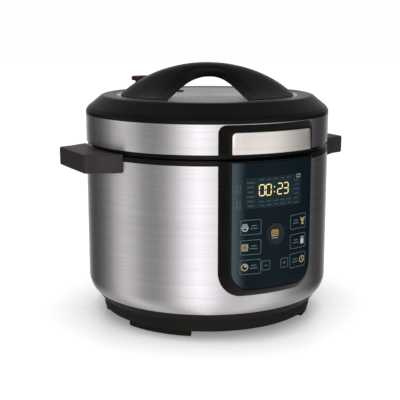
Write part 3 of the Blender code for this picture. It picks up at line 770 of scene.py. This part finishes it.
def side_outline(margin, height, shell_radius, side):
    """The side handle's outline at a height: along the shell, then round its outer corners."""
    flank = SIDE_HALF_WIDTH - margin
    reach = SIDE_REACH - margin
    root = math.sqrt(shell_radius ** 2 - flank ** 2)
    half = []
    for step in range(1, 9):
        turn = math.asin(flank / shell_radius) * step / 9
        half.append((shell_radius * math.cos(turn), shell_radius * math.sin(turn)))
    half.append((root, flank))
    # The flank runs in a shallow S from the shell to the outer corner.
    neck = Vector((160.5 - margin, 40.3 - margin))
    for step in range(1, 8):
        part = step / 8
        eased = part * part * (3.0 - 2.0 * part)
        half.append((root + (neck.x - root) * part, flank + (neck.y - flank) * (0.55 * part + 0.45 * eased)))
    corner = Vector((reach - 4.2, 39.3 - margin - 4.2))
    for step in range(7):
        turn = math.radians(90.0 - 90.0 * step / 6)
        half.append((corner.x + 4.2 * math.cos(turn), corner.y + 4.2 * math.sin(turn)))
    points = [(shell_radius, 0.0)] + half + [(reach + 0.25, 0.0)] + [(x, -y) for x, y in half[::-1]]
    return [Vector((side * x, y, height)) for x, y in points]


# The side handle's outlines, from the roof of its finger pocket, out under its rim and up to its
# top: how far in from the full outline, at what height, and how far out it begins.
SIDE_POCKET = [(4.4, SIDE_BOTTOM + 15.6, 149.0), (4.0, SIDE_BOTTOM + 15.0, 148.6),
               (4.0, SIDE_BOTTOM + 1.0, 149.0), (3.2, SIDE_BOTTOM + 0.1, 148.2)]
SIDE_RIM = [(1.8, SIDE_BOTTOM), (0.7, SIDE_BOTTOM + 0.4), (0.1, SIDE_BOTTOM + 1.6), (0.0, SIDE_TOP - 2.0),
            (0.25, SIDE_TOP - 0.9), (0.9, SIDE_TOP - 0.2), (2.0, SIDE_TOP)]
SIDE_LEVELS = SIDE_POCKET + [(margin, height, FOOTPRINT_RADIUS) for margin, height in SIDE_RIM]


def make_side_handles():
    for name, side in (("left", -1), ("right", 1)):
        loops = [side_outline(margin, height, radius, side) for margin, height, radius in SIDE_LEVELS]
        skin("side_handle_" + name, f"side_handle_{name}_skin", lofted(loops, flat_ends=True), "side_brown")


# ---- the front panel -------------------------------------------------------------------

def make_bezel():
    """A frame with long sloping flanks and a rounded shoulder round the panel's face."""
    rise = FACE_RADIUS - FOOTPRINT_RADIUS
    flank = []
    for step in range(1, 12):
        part = step / 12
        lift = part ** 0.9 if part < 0.8 else 0.8 ** 0.9 + (part - 0.8) * 0.86
        flank.append((between(BEZEL_FOOTPRINT, BEZEL_FACE, part), FOOTPRINT_RADIUS + rise * lift))
    layers = [(inset(BEZEL_FACE, 4.5), FOOTPRINT_RADIUS), (BEZEL_FOOTPRINT, FOOTPRINT_RADIUS), *flank,
              (BEZEL_FACE, FACE_RADIUS - 0.15), (inset(BEZEL_FACE, 0.4), FACE_RADIUS),
              (inset(BEZEL_FACE, 0.9), FACE_RADIUS), (inset(BEZEL_FACE, 1.2), FACE_RADIUS - 0.3),
              (inset(BEZEL_FACE, 1.2), 145.5), (inset(BEZEL_FACE, 4.5), 145.5)]
    skin("control_bezel", "bezel_skin", wrapped(layers, ring=True), "gloss_black")


def key_patch(node):
    """A key's outline on the panel, from its CAD box."""
    low = low_mm(node)
    high = high_mm(node)
    ends = []
    for x in (low.x, high.x):
        ends.append(FACE_RADIUS * math.asin(x / PANEL_RADIUS))
    corner = 2.0 if node in ("key_minus", "key_plus") else 2.4
    return Patch(sum(ends) / 2, (ends[1] - ends[0]) / 2, low.z, high.z, corner, corner)


CUT_RADII = (143.0, 152.0)       # where cutters through the panel start and end
KEYS = ("key_left_top", "key_left_middle", "key_left_bottom", "key_right_top", "key_right_middle",
        "key_right_bottom", "key_minus", "key_plus")


def start_button_place():
    """The round button's middle along the panel and up it, and its radius."""
    patch = key_patch("start_button")
    return patch.middle, (patch.low + patch.high) / 2, (patch.high - patch.low) / 2


def on_panel_rings(x, z, rings):
    """A solid through circles round one place on the panel, each a (reach, radius)."""
    loops = [[on_panel(px, pz, radius) for px, pz in circle(x, z, reach, 64)] for reach, radius in rings]
    return lofted(loops, flat_ends=True)


def make_control_panel():
    outline = inset(BEZEL_FACE, 1.2 + GAP)
    openings = [inset(WINDOW, -GAP)] + [inset(key_patch(node), -0.25) for node in KEYS]
    holes = [wrapped([(opening, radius) for radius in CUT_RADII]) for opening in openings]
    x, z, radius = start_button_place()
    holes.append(on_panel_rings(x, z, [(radius + 0.3, depth) for depth in CUT_RADII]))
    face = wrapped(slab_layers(outline, 145.8, PANEL_RADIUS, 0.35))
    skin("control_panel", "panel_skin", face, "panel_film", *holes)
    for node in KEYS:
        cap = wrapped(slab_layers(key_patch(node), 146.1, KEY_RADIUS, 0.35))
        skin(node, node + "_cap", cap, "key_film")


def make_start_button():
    """The dished round button, whose rim stands just proud of the panel."""
    x, z, radius = start_button_place()
    profile = [(radius, 146.1), (radius, 148.5), (radius - 0.25, 149.0), (radius - 0.8, 149.2),
               (radius - 1.5, 149.05), (radius - 2.3, 148.6)]
    bowl = radius - 2.3
    for step in range(1, 7):
        part = 1.0 - step / 7
        profile.append((bowl * part, 147.7 + 0.9 * part ** 2))
    skin("start_button", "start_button_cap", on_panel_rings(x, z, profile), "button_film")
    marks = Print(148.0, x - 0.6, z)
    marks.stroke(rounded_box(Patch(0.0, 3.8, -1.8, 4.2, 1.2, 1.2)), 0.9, "ink_yellow", closed=True)
    marks.bar(0.0, 2.2, 4.4, 1.0, "ink_yellow")
    marks.bar(0.0, 0.2, 4.4, 0.8, "ink_yellow")
    marks.bar(0.0, -4.2, 7.6, 0.5, "ink_white")
    marks.make("start_button", "start_button_print")


def make_window():
    top = PANEL_RADIUS - 0.05
    skin("display_window", "window_skin", wrapped(slab_layers(WINDOW, 147.2, top, 0.25)), "window_film")
    marks = Print(top)
    for column, x in enumerate((-19.7, -11.9, 2.1, 9.9)):
        add_digit(marks, "0023"[column], x, 160.8)
    for z in (163.8, 169.2):
        marks.bar(-1.8, z, 1.2, 1.2, "lit_segment")
    for row in range(6):
        z = 175.0 - 4.9 * row
        marks.bar(-29.4, z, 9.0 - 1.4 * (row % 3), 1.5, "ink_ghost")
        marks.bar(27.4, z - 1.2, 8.2 - 1.2 * ((row + 1) % 3), 1.3, "ink_ghost")
    for column in range(5):
        x = -17.0 + 8.4 * column
        marks.bar(x, 177.6, 5.8 - 1.0 * (column % 2), 1.1, "ink_ghost")
        marks.bar(x, 154.6, 6.6 - 1.4 * (column % 2), 1.2, "ink_ghost")
        marks.bar(x + 1.0, 150.4, 5.2 + 1.2 * (column % 2), 1.2, "ink_ghost")
    marks.stroke(rounded_box(Patch(30.6, 2.6, 176.4, 179.4, 0.6, 0.6)), 0.6, "ink_cream", closed=True)
    marks.make("display_window", "display_marks")


SEGMENTS = {"0": "abcdef", "2": "abged", "3": "abgcd"}


def add_digit(marks, digit, x, z):
    """A seven-segment digit with its lower left corner at a place."""
    width = 6.1
    height = 11.4
    middle = height / 2
    line = 1.05
    trim = line * 0.62
    ends = {
        "a": ((trim, height), (width - trim, height)), "g": ((trim, middle), (width - trim, middle)),
        "d": ((trim, 0.0), (width - trim, 0.0)), "f": ((0.0, middle + trim), (0.0, height - trim)),
        "e": ((0.0, trim), (0.0, middle - trim)), "b": ((width, middle + trim), (width, height - trim)),
        "c": ((width, trim), (width, middle - trim))}
    for segment in SEGMENTS[digit]:
        start, end = ends[segment]
        marks.stroke([(x + start[0], z + start[1]), (x + end[0], z + end[1])], line, "lit_segment")


def bowl_icon(marks):
    bowl = [(-3.4, 0.8), (-3.0, -1.8), (-1.6, -3.6), (1.6, -3.6), (3.0, -1.8), (3.4, 0.8)]
    marks.stroke(bowl, 0.9, "ink_white")
    for x in (-2.0, 0.0, 2.0):
        marks.bar(x, 2.0, 0.9, 3.4, "ink_white")
    marks.bar(0.0, -0.6, 4.4, 0.8, "ink_white")


def dish_icon(marks):
    marks.ring(3.4, 0.9, "ink_cream")
    marks.ring(1.6, 0.8, "ink_cream")
    for x, z in circle(0.0, 0.0, 4.4, 4, 45.0):
        marks.bar(x, z, 1.0, 1.0, "ink_cream")


def timer_icon(marks):
    marks.ring(3.5, 0.95, "ink_cream")
    marks.stroke([(0.0, 0.0), (0.0, 2.6)], 0.9, "ink_cream")
    marks.shape([(0.0, 0.0), (2.6, 0.0), (1.9, 1.8), (0.0, 2.6)], "ink_cream")


def meal_icon(marks):
    marks.stroke([(-2.8, 4.0), (-2.2, 0.4), (2.2, 0.4), (2.8, 4.0)], 1.0, "ink_cream")
    marks.bar(0.0, 2.2, 4.2, 0.9, "ink_cream")
    marks.bar(0.0, -1.6, 2.0, 3.2, "ink_cream")
    marks.bar(0.0, -3.6, 4.4, 0.9, "ink_cream")


def jar_icon(marks):
    marks.shape([(-2.4, -4.0), (2.4, -4.0), (2.4, 1.6), (-2.4, 1.6)], "ink_white")
    marks.stroke([(-1.6, 2.0), (-1.6, 3.6), (1.6, 3.6), (1.6, 2.0)], 0.8, "ink_white")


def clock_icon(marks):
    marks.ring(3.5, 0.9, "ink_cream")
    marks.stroke([(0.0, 2.2), (0.0, 0.0), (1.6, -1.2)], 0.8, "ink_cream")


PICTOGRAMS = {"key_left_top": bowl_icon, "key_left_middle": dish_icon, "key_left_bottom": timer_icon,
              "key_right_top": meal_icon, "key_right_middle": jar_icon, "key_right_bottom": clock_icon}


def make_key_prints():
    """Each key's outline and pictogram, with plain dashes where a caption would be."""
    for node in KEYS:
        patch = key_patch(node)
        marks = Print(KEY_RADIUS)
        marks.stroke(rounded_box(inset(patch, 0.7)), 0.6, "ink_outline", closed=True)
        marks.origin = (patch.middle, (patch.low + patch.high) / 2)
        if node in PICTOGRAMS:
            side = -1 if "left" in node else 1
            marks.bar(-side * 3.6, 1.5, 6.2, 0.95, "ink_outline")
            marks.bar(-side * 3.6, -1.5, 8.6, 0.95, "ink_outline")
            marks.origin = (patch.middle + side * 6.6, marks.origin[1])
            PICTOGRAMS[node](marks)
        else:
            marks.bar(0.0, 0.0, 3.8, 0.8, "ink_outline")
        if node == "key_plus":
            marks.bar(0.0, 0.0, 0.8, 3.8, "ink_outline")
        marks.make(node, node + "_print")


def make_panel_print():
    """Two faint scale marks beside the window."""
    marks = Print(PANEL_RADIUS)
    for low in (146.8, 163.2):
        marks.bar(-41.0, low + 5.2, 0.55, 10.4, "ink_outline")
        marks.bar(-44.2, low + 3.0, 1.1, 3.2, "ink_outline")
        marks.bar(-44.2, low + 7.8, 1.1, 2.6, "ink_outline")
    marks.make("control_panel", "panel_print")


def make_nameplate():
    rise = FACE_RADIUS - FOOTPRINT_RADIUS
    recess = inset(NAMEPLATE, -GAP)
    flank = []
    for step in range(1, 12):
        part = step / 12
        flank.append((between(HOUSING_FOOTPRINT, HOUSING_FACE, part), FOOTPRINT_RADIUS + rise * part ** 0.85))
    back = inset(HOUSING_FACE, 3.0)
    layers = [(back, 146.0), (back, FOOTPRINT_RADIUS), (HOUSING_FOOTPRINT, FOOTPRINT_RADIUS), *flank,
              (HOUSING_FACE, FACE_RADIUS - 0.15), (inset(HOUSING_FACE, 0.5), FACE_RADIUS),
              (recess, FACE_RADIUS), (recess, 148.2)]
    skin("nameplate_housing", "housing_skin", wrapped(layers), "gloss_black")
    plate = wrapped(slab_layers(NAMEPLATE, 148.3, FACE_RADIUS + 0.12, 0.3))
    skin("nameplate", "nameplate_skin", plate, "nameplate_steel")


# ---- the back --------------------------------------------------------------------------

def make_inlet():
    """The power inlet: a soft-edged housing round a keyed socket."""
    low = low_mm("power_inlet")
    high = high_mm("power_inlet")
    socket = soft_block((-12.0, 128.0, low.z + 2.5), (12.0, 150.0, high.z - 2.5), 1.2)
    skin("power_inlet", "inlet_skin", soft_block(low, high, 1.0), "inlet_black", socket)
    for node in ("inlet_pin_live", "inlet_pin_neutral", "inlet_pin_earth"):
        skin(node, node + "_skin", soft_block(low_mm(node), high_mm(node), 0.5), "pin_brass")


def make_collector():
    """The condensate cup, with a rolled rim and a grip rib."""
    low = low_mm("condensate_collector")
    high = high_mm("condensate_collector")
    skin("condensate_collector", "collector_skin", soft_block(low, high, 1.6), "gloss_black",
         block((low.x + 1.6, 147.2, low.z + 1.8), (high.x - 1.6, 151.9, high.z + 4.0)),
         block((-9.4, 140.0, 163.6), (9.4, 145.6, 184.4)))
    ribs = [soft_block((x - 0.8, high.y - 0.5, low.z + 6.0), (x + 0.8, high.y + 0.5, low.z + 18.0), 0.35)
            for x in (-8.0, -4.0, 0.0, 4.0, 8.0)]
    detail("condensate_collector", "collector_grip", merge(ribs), "gloss_black")


# ---- the pots --------------------------------------------------------------------------

def lug_part(azimuth):
    """0 between two lugs and 1 on one, easing over its ends."""
    pitch = 360.0 / LUG_COUNT
    offset = abs((azimuth + pitch / 2) % pitch - pitch / 2)
    part = min(max((12.5 - offset) / 4.0, 0.0), 1.0)
    return part * part * (3.0 - 2.0 * part)


def make_pots():
    def outer_profile(azimuth):
        lip = 127.2 - 4.7 * lug_part(azimuth)
        return softened([
            (100.0, 42.0), (116.0, 42.0, 1.0), (116.0, 186.0, 2.0), (130.0, 188.0, 1.5), (130.0, 201.0, 0.8),
            (lip, 201.0, 0.7), (lip, 198.5, 0.7), (128.0, 198.5), (128.0, 190.0, 1.0), (114.0, 189.6, 1.5),
            (114.0, 44.0), (100.0, 44.0)], 3)

    inner_profile = softened([
        (0.0, 48.0), (104.0, 48.0, 4.0), (109.3, 50.2, 3.0), (111.5, 55.5, 4.0), (111.5, 190.3, 1.0),
        (119.6, 190.3, 0.7), (119.6, 191.8, 0.7), (110.6, 191.8, 1.8), (110.0, 189.0, 1.0),
        (110.0, 56.0, 4.0), (108.2, 51.6, 3.0), (103.5, 49.6, 4.0), (0.0, 49.6)])
    skin("outer_pot", "outer_pot_skin", turned(outer_profile, 240), "cast_aluminium")
    skin("inner_pot", "inner_pot_skin", turned(inner_profile), "inner_steel")


# ---- the lid ---------------------------------------------------------------------------

def make_lid_band():
    inner = BODY_RADIUS - 1.4
    profile = softened([
        (BODY_RADIUS, LID_BOTTOM, 0.5), (BODY_RADIUS, BAND_TOP), (inner, BAND_TOP), (inner, LID_BOTTOM, 0.4)])
    skin("lid_band", "lid_band_skin", turned(profile), "body_steel")


def make_cover_ring():
    """The black ring: a thin lip over the band, a straight slope and a nearly flat top."""
    profile = softened([
        (BODY_RADIUS, BAND_TOP + GAP), (BODY_RADIUS, 238.8, 0.8), (140.0, 240.2, 0.6), (138.4, 242.6, 1.6),
        (131.4, 248.25, 2.0), (123.4, 254.7, 1.0), (121.6, 255.4, 0.6),
        (106.2, 254.9, 0.3), (106.2, 253.2), (101.0, 253.2), (101.0, 250.8), (121.0, 250.0, 3.0),
        (137.0, 238.0, 3.0), (137.0, 204.0), (139.3, 204.0), (139.3, BAND_TOP + GAP)], 6)
    skin("lid_cover_ring", "cover_ring_skin", turned(profile, 240), "gloss_black")


def make_top_plate():
    """The steel disc, very slightly dished, with a bright rolled edge."""
    low = low_mm("lid_top_plate").z
    dish = 1.0
    profile = [(0.0, low), (PLATE_RADIUS, low), (PLATE_RADIUS, PLATE_TOP - 0.3),
               (PLATE_RADIUS - 0.4, PLATE_TOP + 0.05), (PLATE_RADIUS - 1.0, PLATE_TOP + 0.1),
               (PLATE_RADIUS - 1.7, PLATE_TOP - 0.1)]
    for step in range(12):
        reach = (PLATE_RADIUS - 2.2) * (1.0 - step / 12)
        profile.append((reach, PLATE_TOP - 0.15 - dish * (1.0 - (reach / PLATE_RADIUS) ** 2)))
    profile.append((0.0, PLATE_TOP - 0.15 - dish))
    skin("lid_top_plate", "top_plate_skin", turned(profile, 240), "plate_top_steel",
         rod(250.0, 260.0, 3.6, FLOAT_PLACE), rod(250.0, 260.0, 4.5, EXHAUST_PLACE))
    grommet = softened([(3.3, PLATE_TOP - 0.6), (4.6, PLATE_TOP - 0.6), (4.6, PLATE_TOP + 0.35, 0.3),
                        (3.3, PLATE_TOP + 0.35, 0.3)])
    detail("lid_top_plate", "float_hole_grommet", turned(grommet, SMALL_STEPS, FLOAT_PLACE), "handle_black")


def handle_section(side, part):
    """A loop round the arch handle, part of the way from its middle to the root on one side."""
    rest = 1.0 - part
    weights = (rest ** 3, 3.0 * rest ** 2 * part, 3.0 * rest * part ** 2, part ** 3)
    turn = Matrix.Rotation(math.radians(HANDLE_TURN), 3, "Z")
    lid = Vector((0.0, 0.0, PLATE_TOP + GAP))
    loop = []
    for (lean, *middle), *others in HANDLE_EDGES:
        points = [(0.0, *middle), *others]
        along, across, height = (sum(weight * point[axis] for weight, point in zip(weights, points))
                                 for axis in range(3))
        loop.append(lid + turn @ Vector((side * along + lean * rest ** 2, across, height)))
    return loop


def smooth_loop(loop, steps):
    """A closed loop with extra points between its own, on a curve through them all."""
    count = len(loop)
    fine = []
    for k in range(count):
        before, start, end, after = [loop[(k + offset) % count] for offset in (-1, 0, 1, 2)]
        for step in range(steps):
            t = step / steps
            fine.append(0.5 * (2.0 * start + (end - before) * t
                               + (2.0 * before - 5.0 * start + 4.0 * end - after) * t ** 2
                               + (3.0 * (start - end) + after - before) * t ** 3))
    return fine


def make_lid_handle():
    """The arch handle, whose roots spread out along the top plate's edge."""
    parts = [math.sin(math.pi / 2 * step / 40) for step in range(41)]
    loops = [smooth_loop(handle_section(-1, part), 4) for part in parts[:0:-1]]
    loops += [smooth_loop(handle_section(1, part), 4) for part in parts]
    base = Vector((0.0, 0.0, -HANDLE_FOOT))
    loops = [[point + base for point in loops[0]], *loops, [point + base for point in loops[-1]]]
    skin("lid_handle", "lid_handle_skin", lofted(loops, flat_ends=True), "handle_black")


def make_dome():
    def profile(azimuth):
        lug = 122.6 + 3.9 * lug_part(azimuth)
        return softened([
            (119.4, 193.5, 0.4), (lug, 193.5, 0.6), (lug, 196.0, 0.6), (121.4, 196.0, 0.5),
            (121.4, 211.0, 4.0), (117.5, 221.5, 6.0), (100.0, 230.0, 8.0), (60.0, 234.0, 12.0),
            (0.0, 235.0), (0.0, 233.0), (59.8, 232.0, 12.0), (99.2, 228.0, 8.0), (115.8, 220.0, 6.0),
            (119.4, 210.6, 4.0)], 4)

    holes = merge([rod(220.0, 240.0, 2.4, FLOAT_PLACE), rod(220.0, 240.0, 4.5, EXHAUST_PLACE)])
    skin("lid_dome", "dome_skin", turned(profile, 240), "inner_steel", holes)


def make_seal():
    seal = softened([
        (109.0, 202.4, 1.2), (118.8, 202.4, 1.2), (118.8, 193.5, 0.8), (117.4, 192.1, 0.5),
        (112.0, 192.1, 0.8), (109.0, 195.5, 1.0)])
    skin("sealing_ring", "seal_skin", turned(seal), "seal_silicone")
    ring = softened([(107.2, 194.0, 0.5), (108.7, 194.0, 0.5), (108.7, 202.4, 0.5), (107.2, 202.4, 0.5)])
    skin("seal_support_ring", "support_ring_skin", turned(ring), "inner_steel")


def make_valves():
    tube = softened([(2.2, 226.5, 0.3), (4.2, 226.5, 0.3), (4.2, 263.0, 0.4), (2.2, 263.0, 0.4)])
    skin("exhaust_tube", "exhaust_tube_skin", turned(tube, SMALL_STEPS, EXHAUST_PLACE), "inner_steel")
    cup = softened([(0.0, 219.0), (9.0, 219.0, 1.2), (9.6, 220.4, 0.6), (9.6, 227.6, 0.3), (8.2, 227.6, 0.3),
                    (8.2, 220.6), (0.0, 220.6)])
    vents = []
    for number in range(12):
        place = Vector((*EXHAUST_PLACE, 0.0)) + polar(30.0 * number, 6.2, 0.0)
        vents.append(rod(217.0, 222.0, 1.1, place, 12))
    skin("anti_block_cap", "anti_block_skin", turned(cup, SMALL_STEPS, EXHAUST_PLACE), "inner_steel",
         merge(vents))

    def knob_profile(azimuth):
        offset = abs((azimuth - KNOB_LEVER_AZIMUTH + 180.0) % 360.0 - 180.0)
        part = min(max((26.0 - offset) / 14.0, 0.0), 1.0)
        lever = 11.6 + 3.4 * part * part * (3.0 - 2.0 * part)
        flute = 0.25 * math.cos(math.radians(azimuth * 12.0))
        return softened([
            (4.6, 256.0), (9.4, 256.0, 0.6), (10.2 + flute, 259.0, 0.8), (10.2 + flute, 267.6, 0.5),
            (lever, 268.4, 0.7), (lever, 272.4, 0.8), (lever - 1.2, 273.4, 0.8), (7.0, 273.4, 0.4),
            (6.2, 272.4, 0.6), (0.0, 272.2), (0.0, 264.0), (4.6, 264.0)])

    skin("steam_release_knob", "steam_knob_skin", turned(knob_profile, 144, EXHAUST_PLACE), "knob_red")
    pin = softened([(0.0, 218.0), (3.2, 218.0, 0.5), (3.2, 219.5), (1.9, 219.5), (1.9, 234.8), (3.1, 234.8),
                    (3.1, 254.8, 0.7), (0.0, 254.8)])
    skin("float_valve_pin", "float_pin_skin", turned(pin, SMALL_STEPS, FLOAT_PLACE), "handle_black")
    seal = softened([(2.2, 219.8, 0.4), (4.6, 219.8, 0.8), (4.6, 222.6, 0.8), (2.2, 222.6, 0.4)])
    skin("float_valve_seal", "float_seal_skin", turned(seal, SMALL_STEPS, FLOAT_PLACE), "red_silicone")


def make_screws():
    """The screws in view from below: pan heads with a cross recess."""
    for node in ("base_screw", "lid_handle_screw_1", "lid_handle_screw_2"):
        low = low_mm(node)
        high = high_mm(node)
        head = (high.x - low.x) / 2
        centre = ((high.x + low.x) / 2, (high.y + low.y) / 2)
        seat = low.z + 2.2
        profile = softened([
            (0.0, low.z), (head * 0.72, low.z, head * 0.25), (head, low.z + 1.4, 0.6), (head, seat, 0.2),
            (1.9, seat), (1.9, high.z, 0.4), (0.0, high.z)])
        x, y = centre
        reach = head * 0.5
        arms = [block((x - a, y - b, low.z - 1.0), (x + a, y + b, low.z + 1.2))
                for a, b in ((reach, 0.45), (0.45, reach))]
        skin(node, node + "_skin", turned(profile, SMALL_STEPS, centre), "screw_steel", *arms)


CARRIED = {
    "cast_aluminium": ("heating_plate", "temperature_sensor"),
    "inner_steel": ("heat_shield", "sensor_spring"),
    "screw_steel": ("left_handle_screw_1", "left_handle_screw_2", "right_handle_screw_1",
                    "right_handle_screw_2"),
    "pale_plastic": ("thermal_fuse", "display_module"),
    "inlet_black": ("pressure_switch", "collector_bracket"),
    "board_green": ("power_board", "display_board"),
}


def finish_carried_nodes():
    """CAD nodes whose shape stays as it is get the same materials as the rest."""
    for finish, nodes in CARRIED.items():
        for node in nodes:
            slots = frame["nodes"][node].data.materials
            slots.clear()
            slots.append(MATERIALS[finish])


# ---- the stage -------------------------------------------------------------------------

TO_CAMERA = math.atan2(-CAMERA_AIM[1], -CAMERA_AIM[0])

# The studio's brightness round the object, as seen from its middle: degrees to the right of
# the camera, and strength. Soft white panels stand between dark screens.
STUDIO = ((-180.0, 0.95), (-160.0, 0.55), (-150.0, 0.16), (-136.0, 0.07), (-120.0, 0.12), (-106.0, 0.28),
          (-96.0, 0.62), (-84.0, 0.84), (-72.0, 0.66), (-62.0, 0.36), (-50.0, 0.30), (-40.0, 0.42),
          (-30.0, 0.80), (-20.0, 1.34), (-8.0, 1.72), (4.0, 1.44), (16.0, 0.92), (28.0, 0.76),
          (44.0, 0.88), (58.0, 0.92), (72.0, 0.62), (90.0, 0.30), (106.0, 0.16), (124.0, 0.05),
          (138.0, 0.06), (150.0, 0.18), (160.0, 0.60), (180.0, 0.95))
STUDIO_FULL = 1.8                # strength of the brightest panel that the ramp can hold
OVERHEAD = 0.30                  # strength straight above
BELOW = 0.90                     # strength of the pale floor, seen in the object's lower edges
FLOOR_RADIUS = 6000.0
TOP_LIGHT_ANGLE = math.radians(55.0)
TOP_LIGHT_STRENGTH = 2.6


def make_world():
    """A studio of upright soft panels, with dim light overhead and a pale floor below."""
    world = bpy.data.worlds.new("studio")
    bpy.context.scene.world = world
    world.use_nodes = True
    tree = world.node_tree
    tree.nodes.clear()

    def add(kind, *inputs, **settings):
        return add_node(tree, kind, inputs, **settings)

    direction = add("TexCoord").outputs["Generated"]
    turned_view = add("VectorRotate", direction, rotation_type="Z_AXIS")
    turned_view.inputs["Angle"].default_value = -TO_CAMERA
    parts = add("SeparateXYZ", turned_view.outputs[0])
    angle = add("Math", parts.outputs["Y"], parts.outputs["X"], operation="ARCTAN2").outputs[0]
    share = add("MapRange", angle, -math.pi, math.pi, 0.0, 1.0).outputs[0]
    ramp = add("ValToRGB", share)
    ramp.color_ramp.interpolation = "EASE"
    stops = ramp.color_ramp.elements
    while len(stops) < len(STUDIO):
        stops.new(0.5)
    for stop, (degrees, strength) in zip(stops, STUDIO):
        stop.position = (degrees + 180.0) / 360.0
        stop.color = (*[strength / STUDIO_FULL] * 3, 1.0)
    level = add("Math", ramp.outputs["Color"], STUDIO_FULL, operation="MULTIPLY").outputs[0]
    height = parts.outputs["Z"]
    # The panels stand higher on the camera's side than behind the object.
    lean = add("Math", parts.outputs["X"], -0.22, operation="MULTIPLY").outputs[0]
    leaning = add("Math", height, lean, operation="ADD").outputs[0]
    rise = add("MapRange", leaning, 0.14, 0.60, 0.0, 1.0, interpolation_type="SMOOTHSTEP").outputs[0]
    drop = add("MapRange", height, -0.30, -0.62, 0.0, 0.45, interpolation_type="SMOOTHSTEP").outputs[0]
    for share, other in ((rise, OVERHEAD), (drop, BELOW)):
        mix = add("Mix", share)
        tree.links.new(level, mix.inputs["A"])
        mix.inputs["B"].default_value = other
        level = mix.outputs["Result"]
    camera_ray = add("LightPath").outputs["Is Camera Ray"]
    seen = add("Math", level, camera_ray, operation="MAXIMUM").outputs[0]
    background = add("Background", (1.0, 0.985, 1.0, 1.0), seen)
    output = add("OutputWorld")
    tree.links.new(background.outputs[0], output.inputs["Surface"])


def make_floor():
    """A plain pale table, lit from within like a light table so that it stays near white."""
    mesh = bmesh.new()
    bmesh.ops.create_circle(mesh, cap_ends=True, segments=96, radius=FLOOR_RADIUS)
    surface = Surface("floor_white", (0.90, 0.90, 0.90), 0.28, Emission_Color=(1.0, 1.0, 1.0, 1.0),
                      Emission_Strength=0.22)
    grain = surface.grain(30.0)
    surface.vary_roughness(grain, 0.26, 0.31)
    MATERIALS["floor_white"] = surface.material
    floor = make_object("floor", mesh, "floor_white")
    floor.visible_glossy = False


def make_top_light():
    """A wide soft light straight overhead, kept out of reflections, for the floor and its shadow."""
    data = bpy.data.lights.new("top_light", "SUN")
    data.angle = TOP_LIGHT_ANGLE
    data.energy = TOP_LIGHT_STRENGTH
    light = bpy.data.objects.new("top_light", data)
    light.visible_glossy = False
    bpy.context.scene.collection.objects.link(light)


def make_camera():
    data = bpy.data.cameras.new("camera")
    data.lens = CAMERA_LENS
    data.sensor_width = 36.0
    camera = bpy.data.objects.new("camera", data)
    camera.location = CAMERA_PLACE
    camera.rotation_euler = Vector(CAMERA_AIM).to_track_quat("-Z", "Y").to_euler()
    bpy.context.scene.collection.objects.link(camera)
    bpy.context.scene.camera = camera


bpy.context.scene.view_settings.view_transform = "Standard"
STEPS = (make_camera, make_world, make_top_light, make_floor, make_outer_shell, make_rim_ring,
         make_base_pan, make_feet, make_side_handles, make_bezel, make_control_panel,
         make_start_button, make_window, make_key_prints, make_panel_print, make_nameplate, make_inlet,
         make_collector, make_pots, make_lid_band, make_cover_ring, make_top_plate, make_lid_handle,
         make_dome, make_seal, make_valves, make_screws, finish_carried_nodes)
for make_step in STEPS:
    make_step()
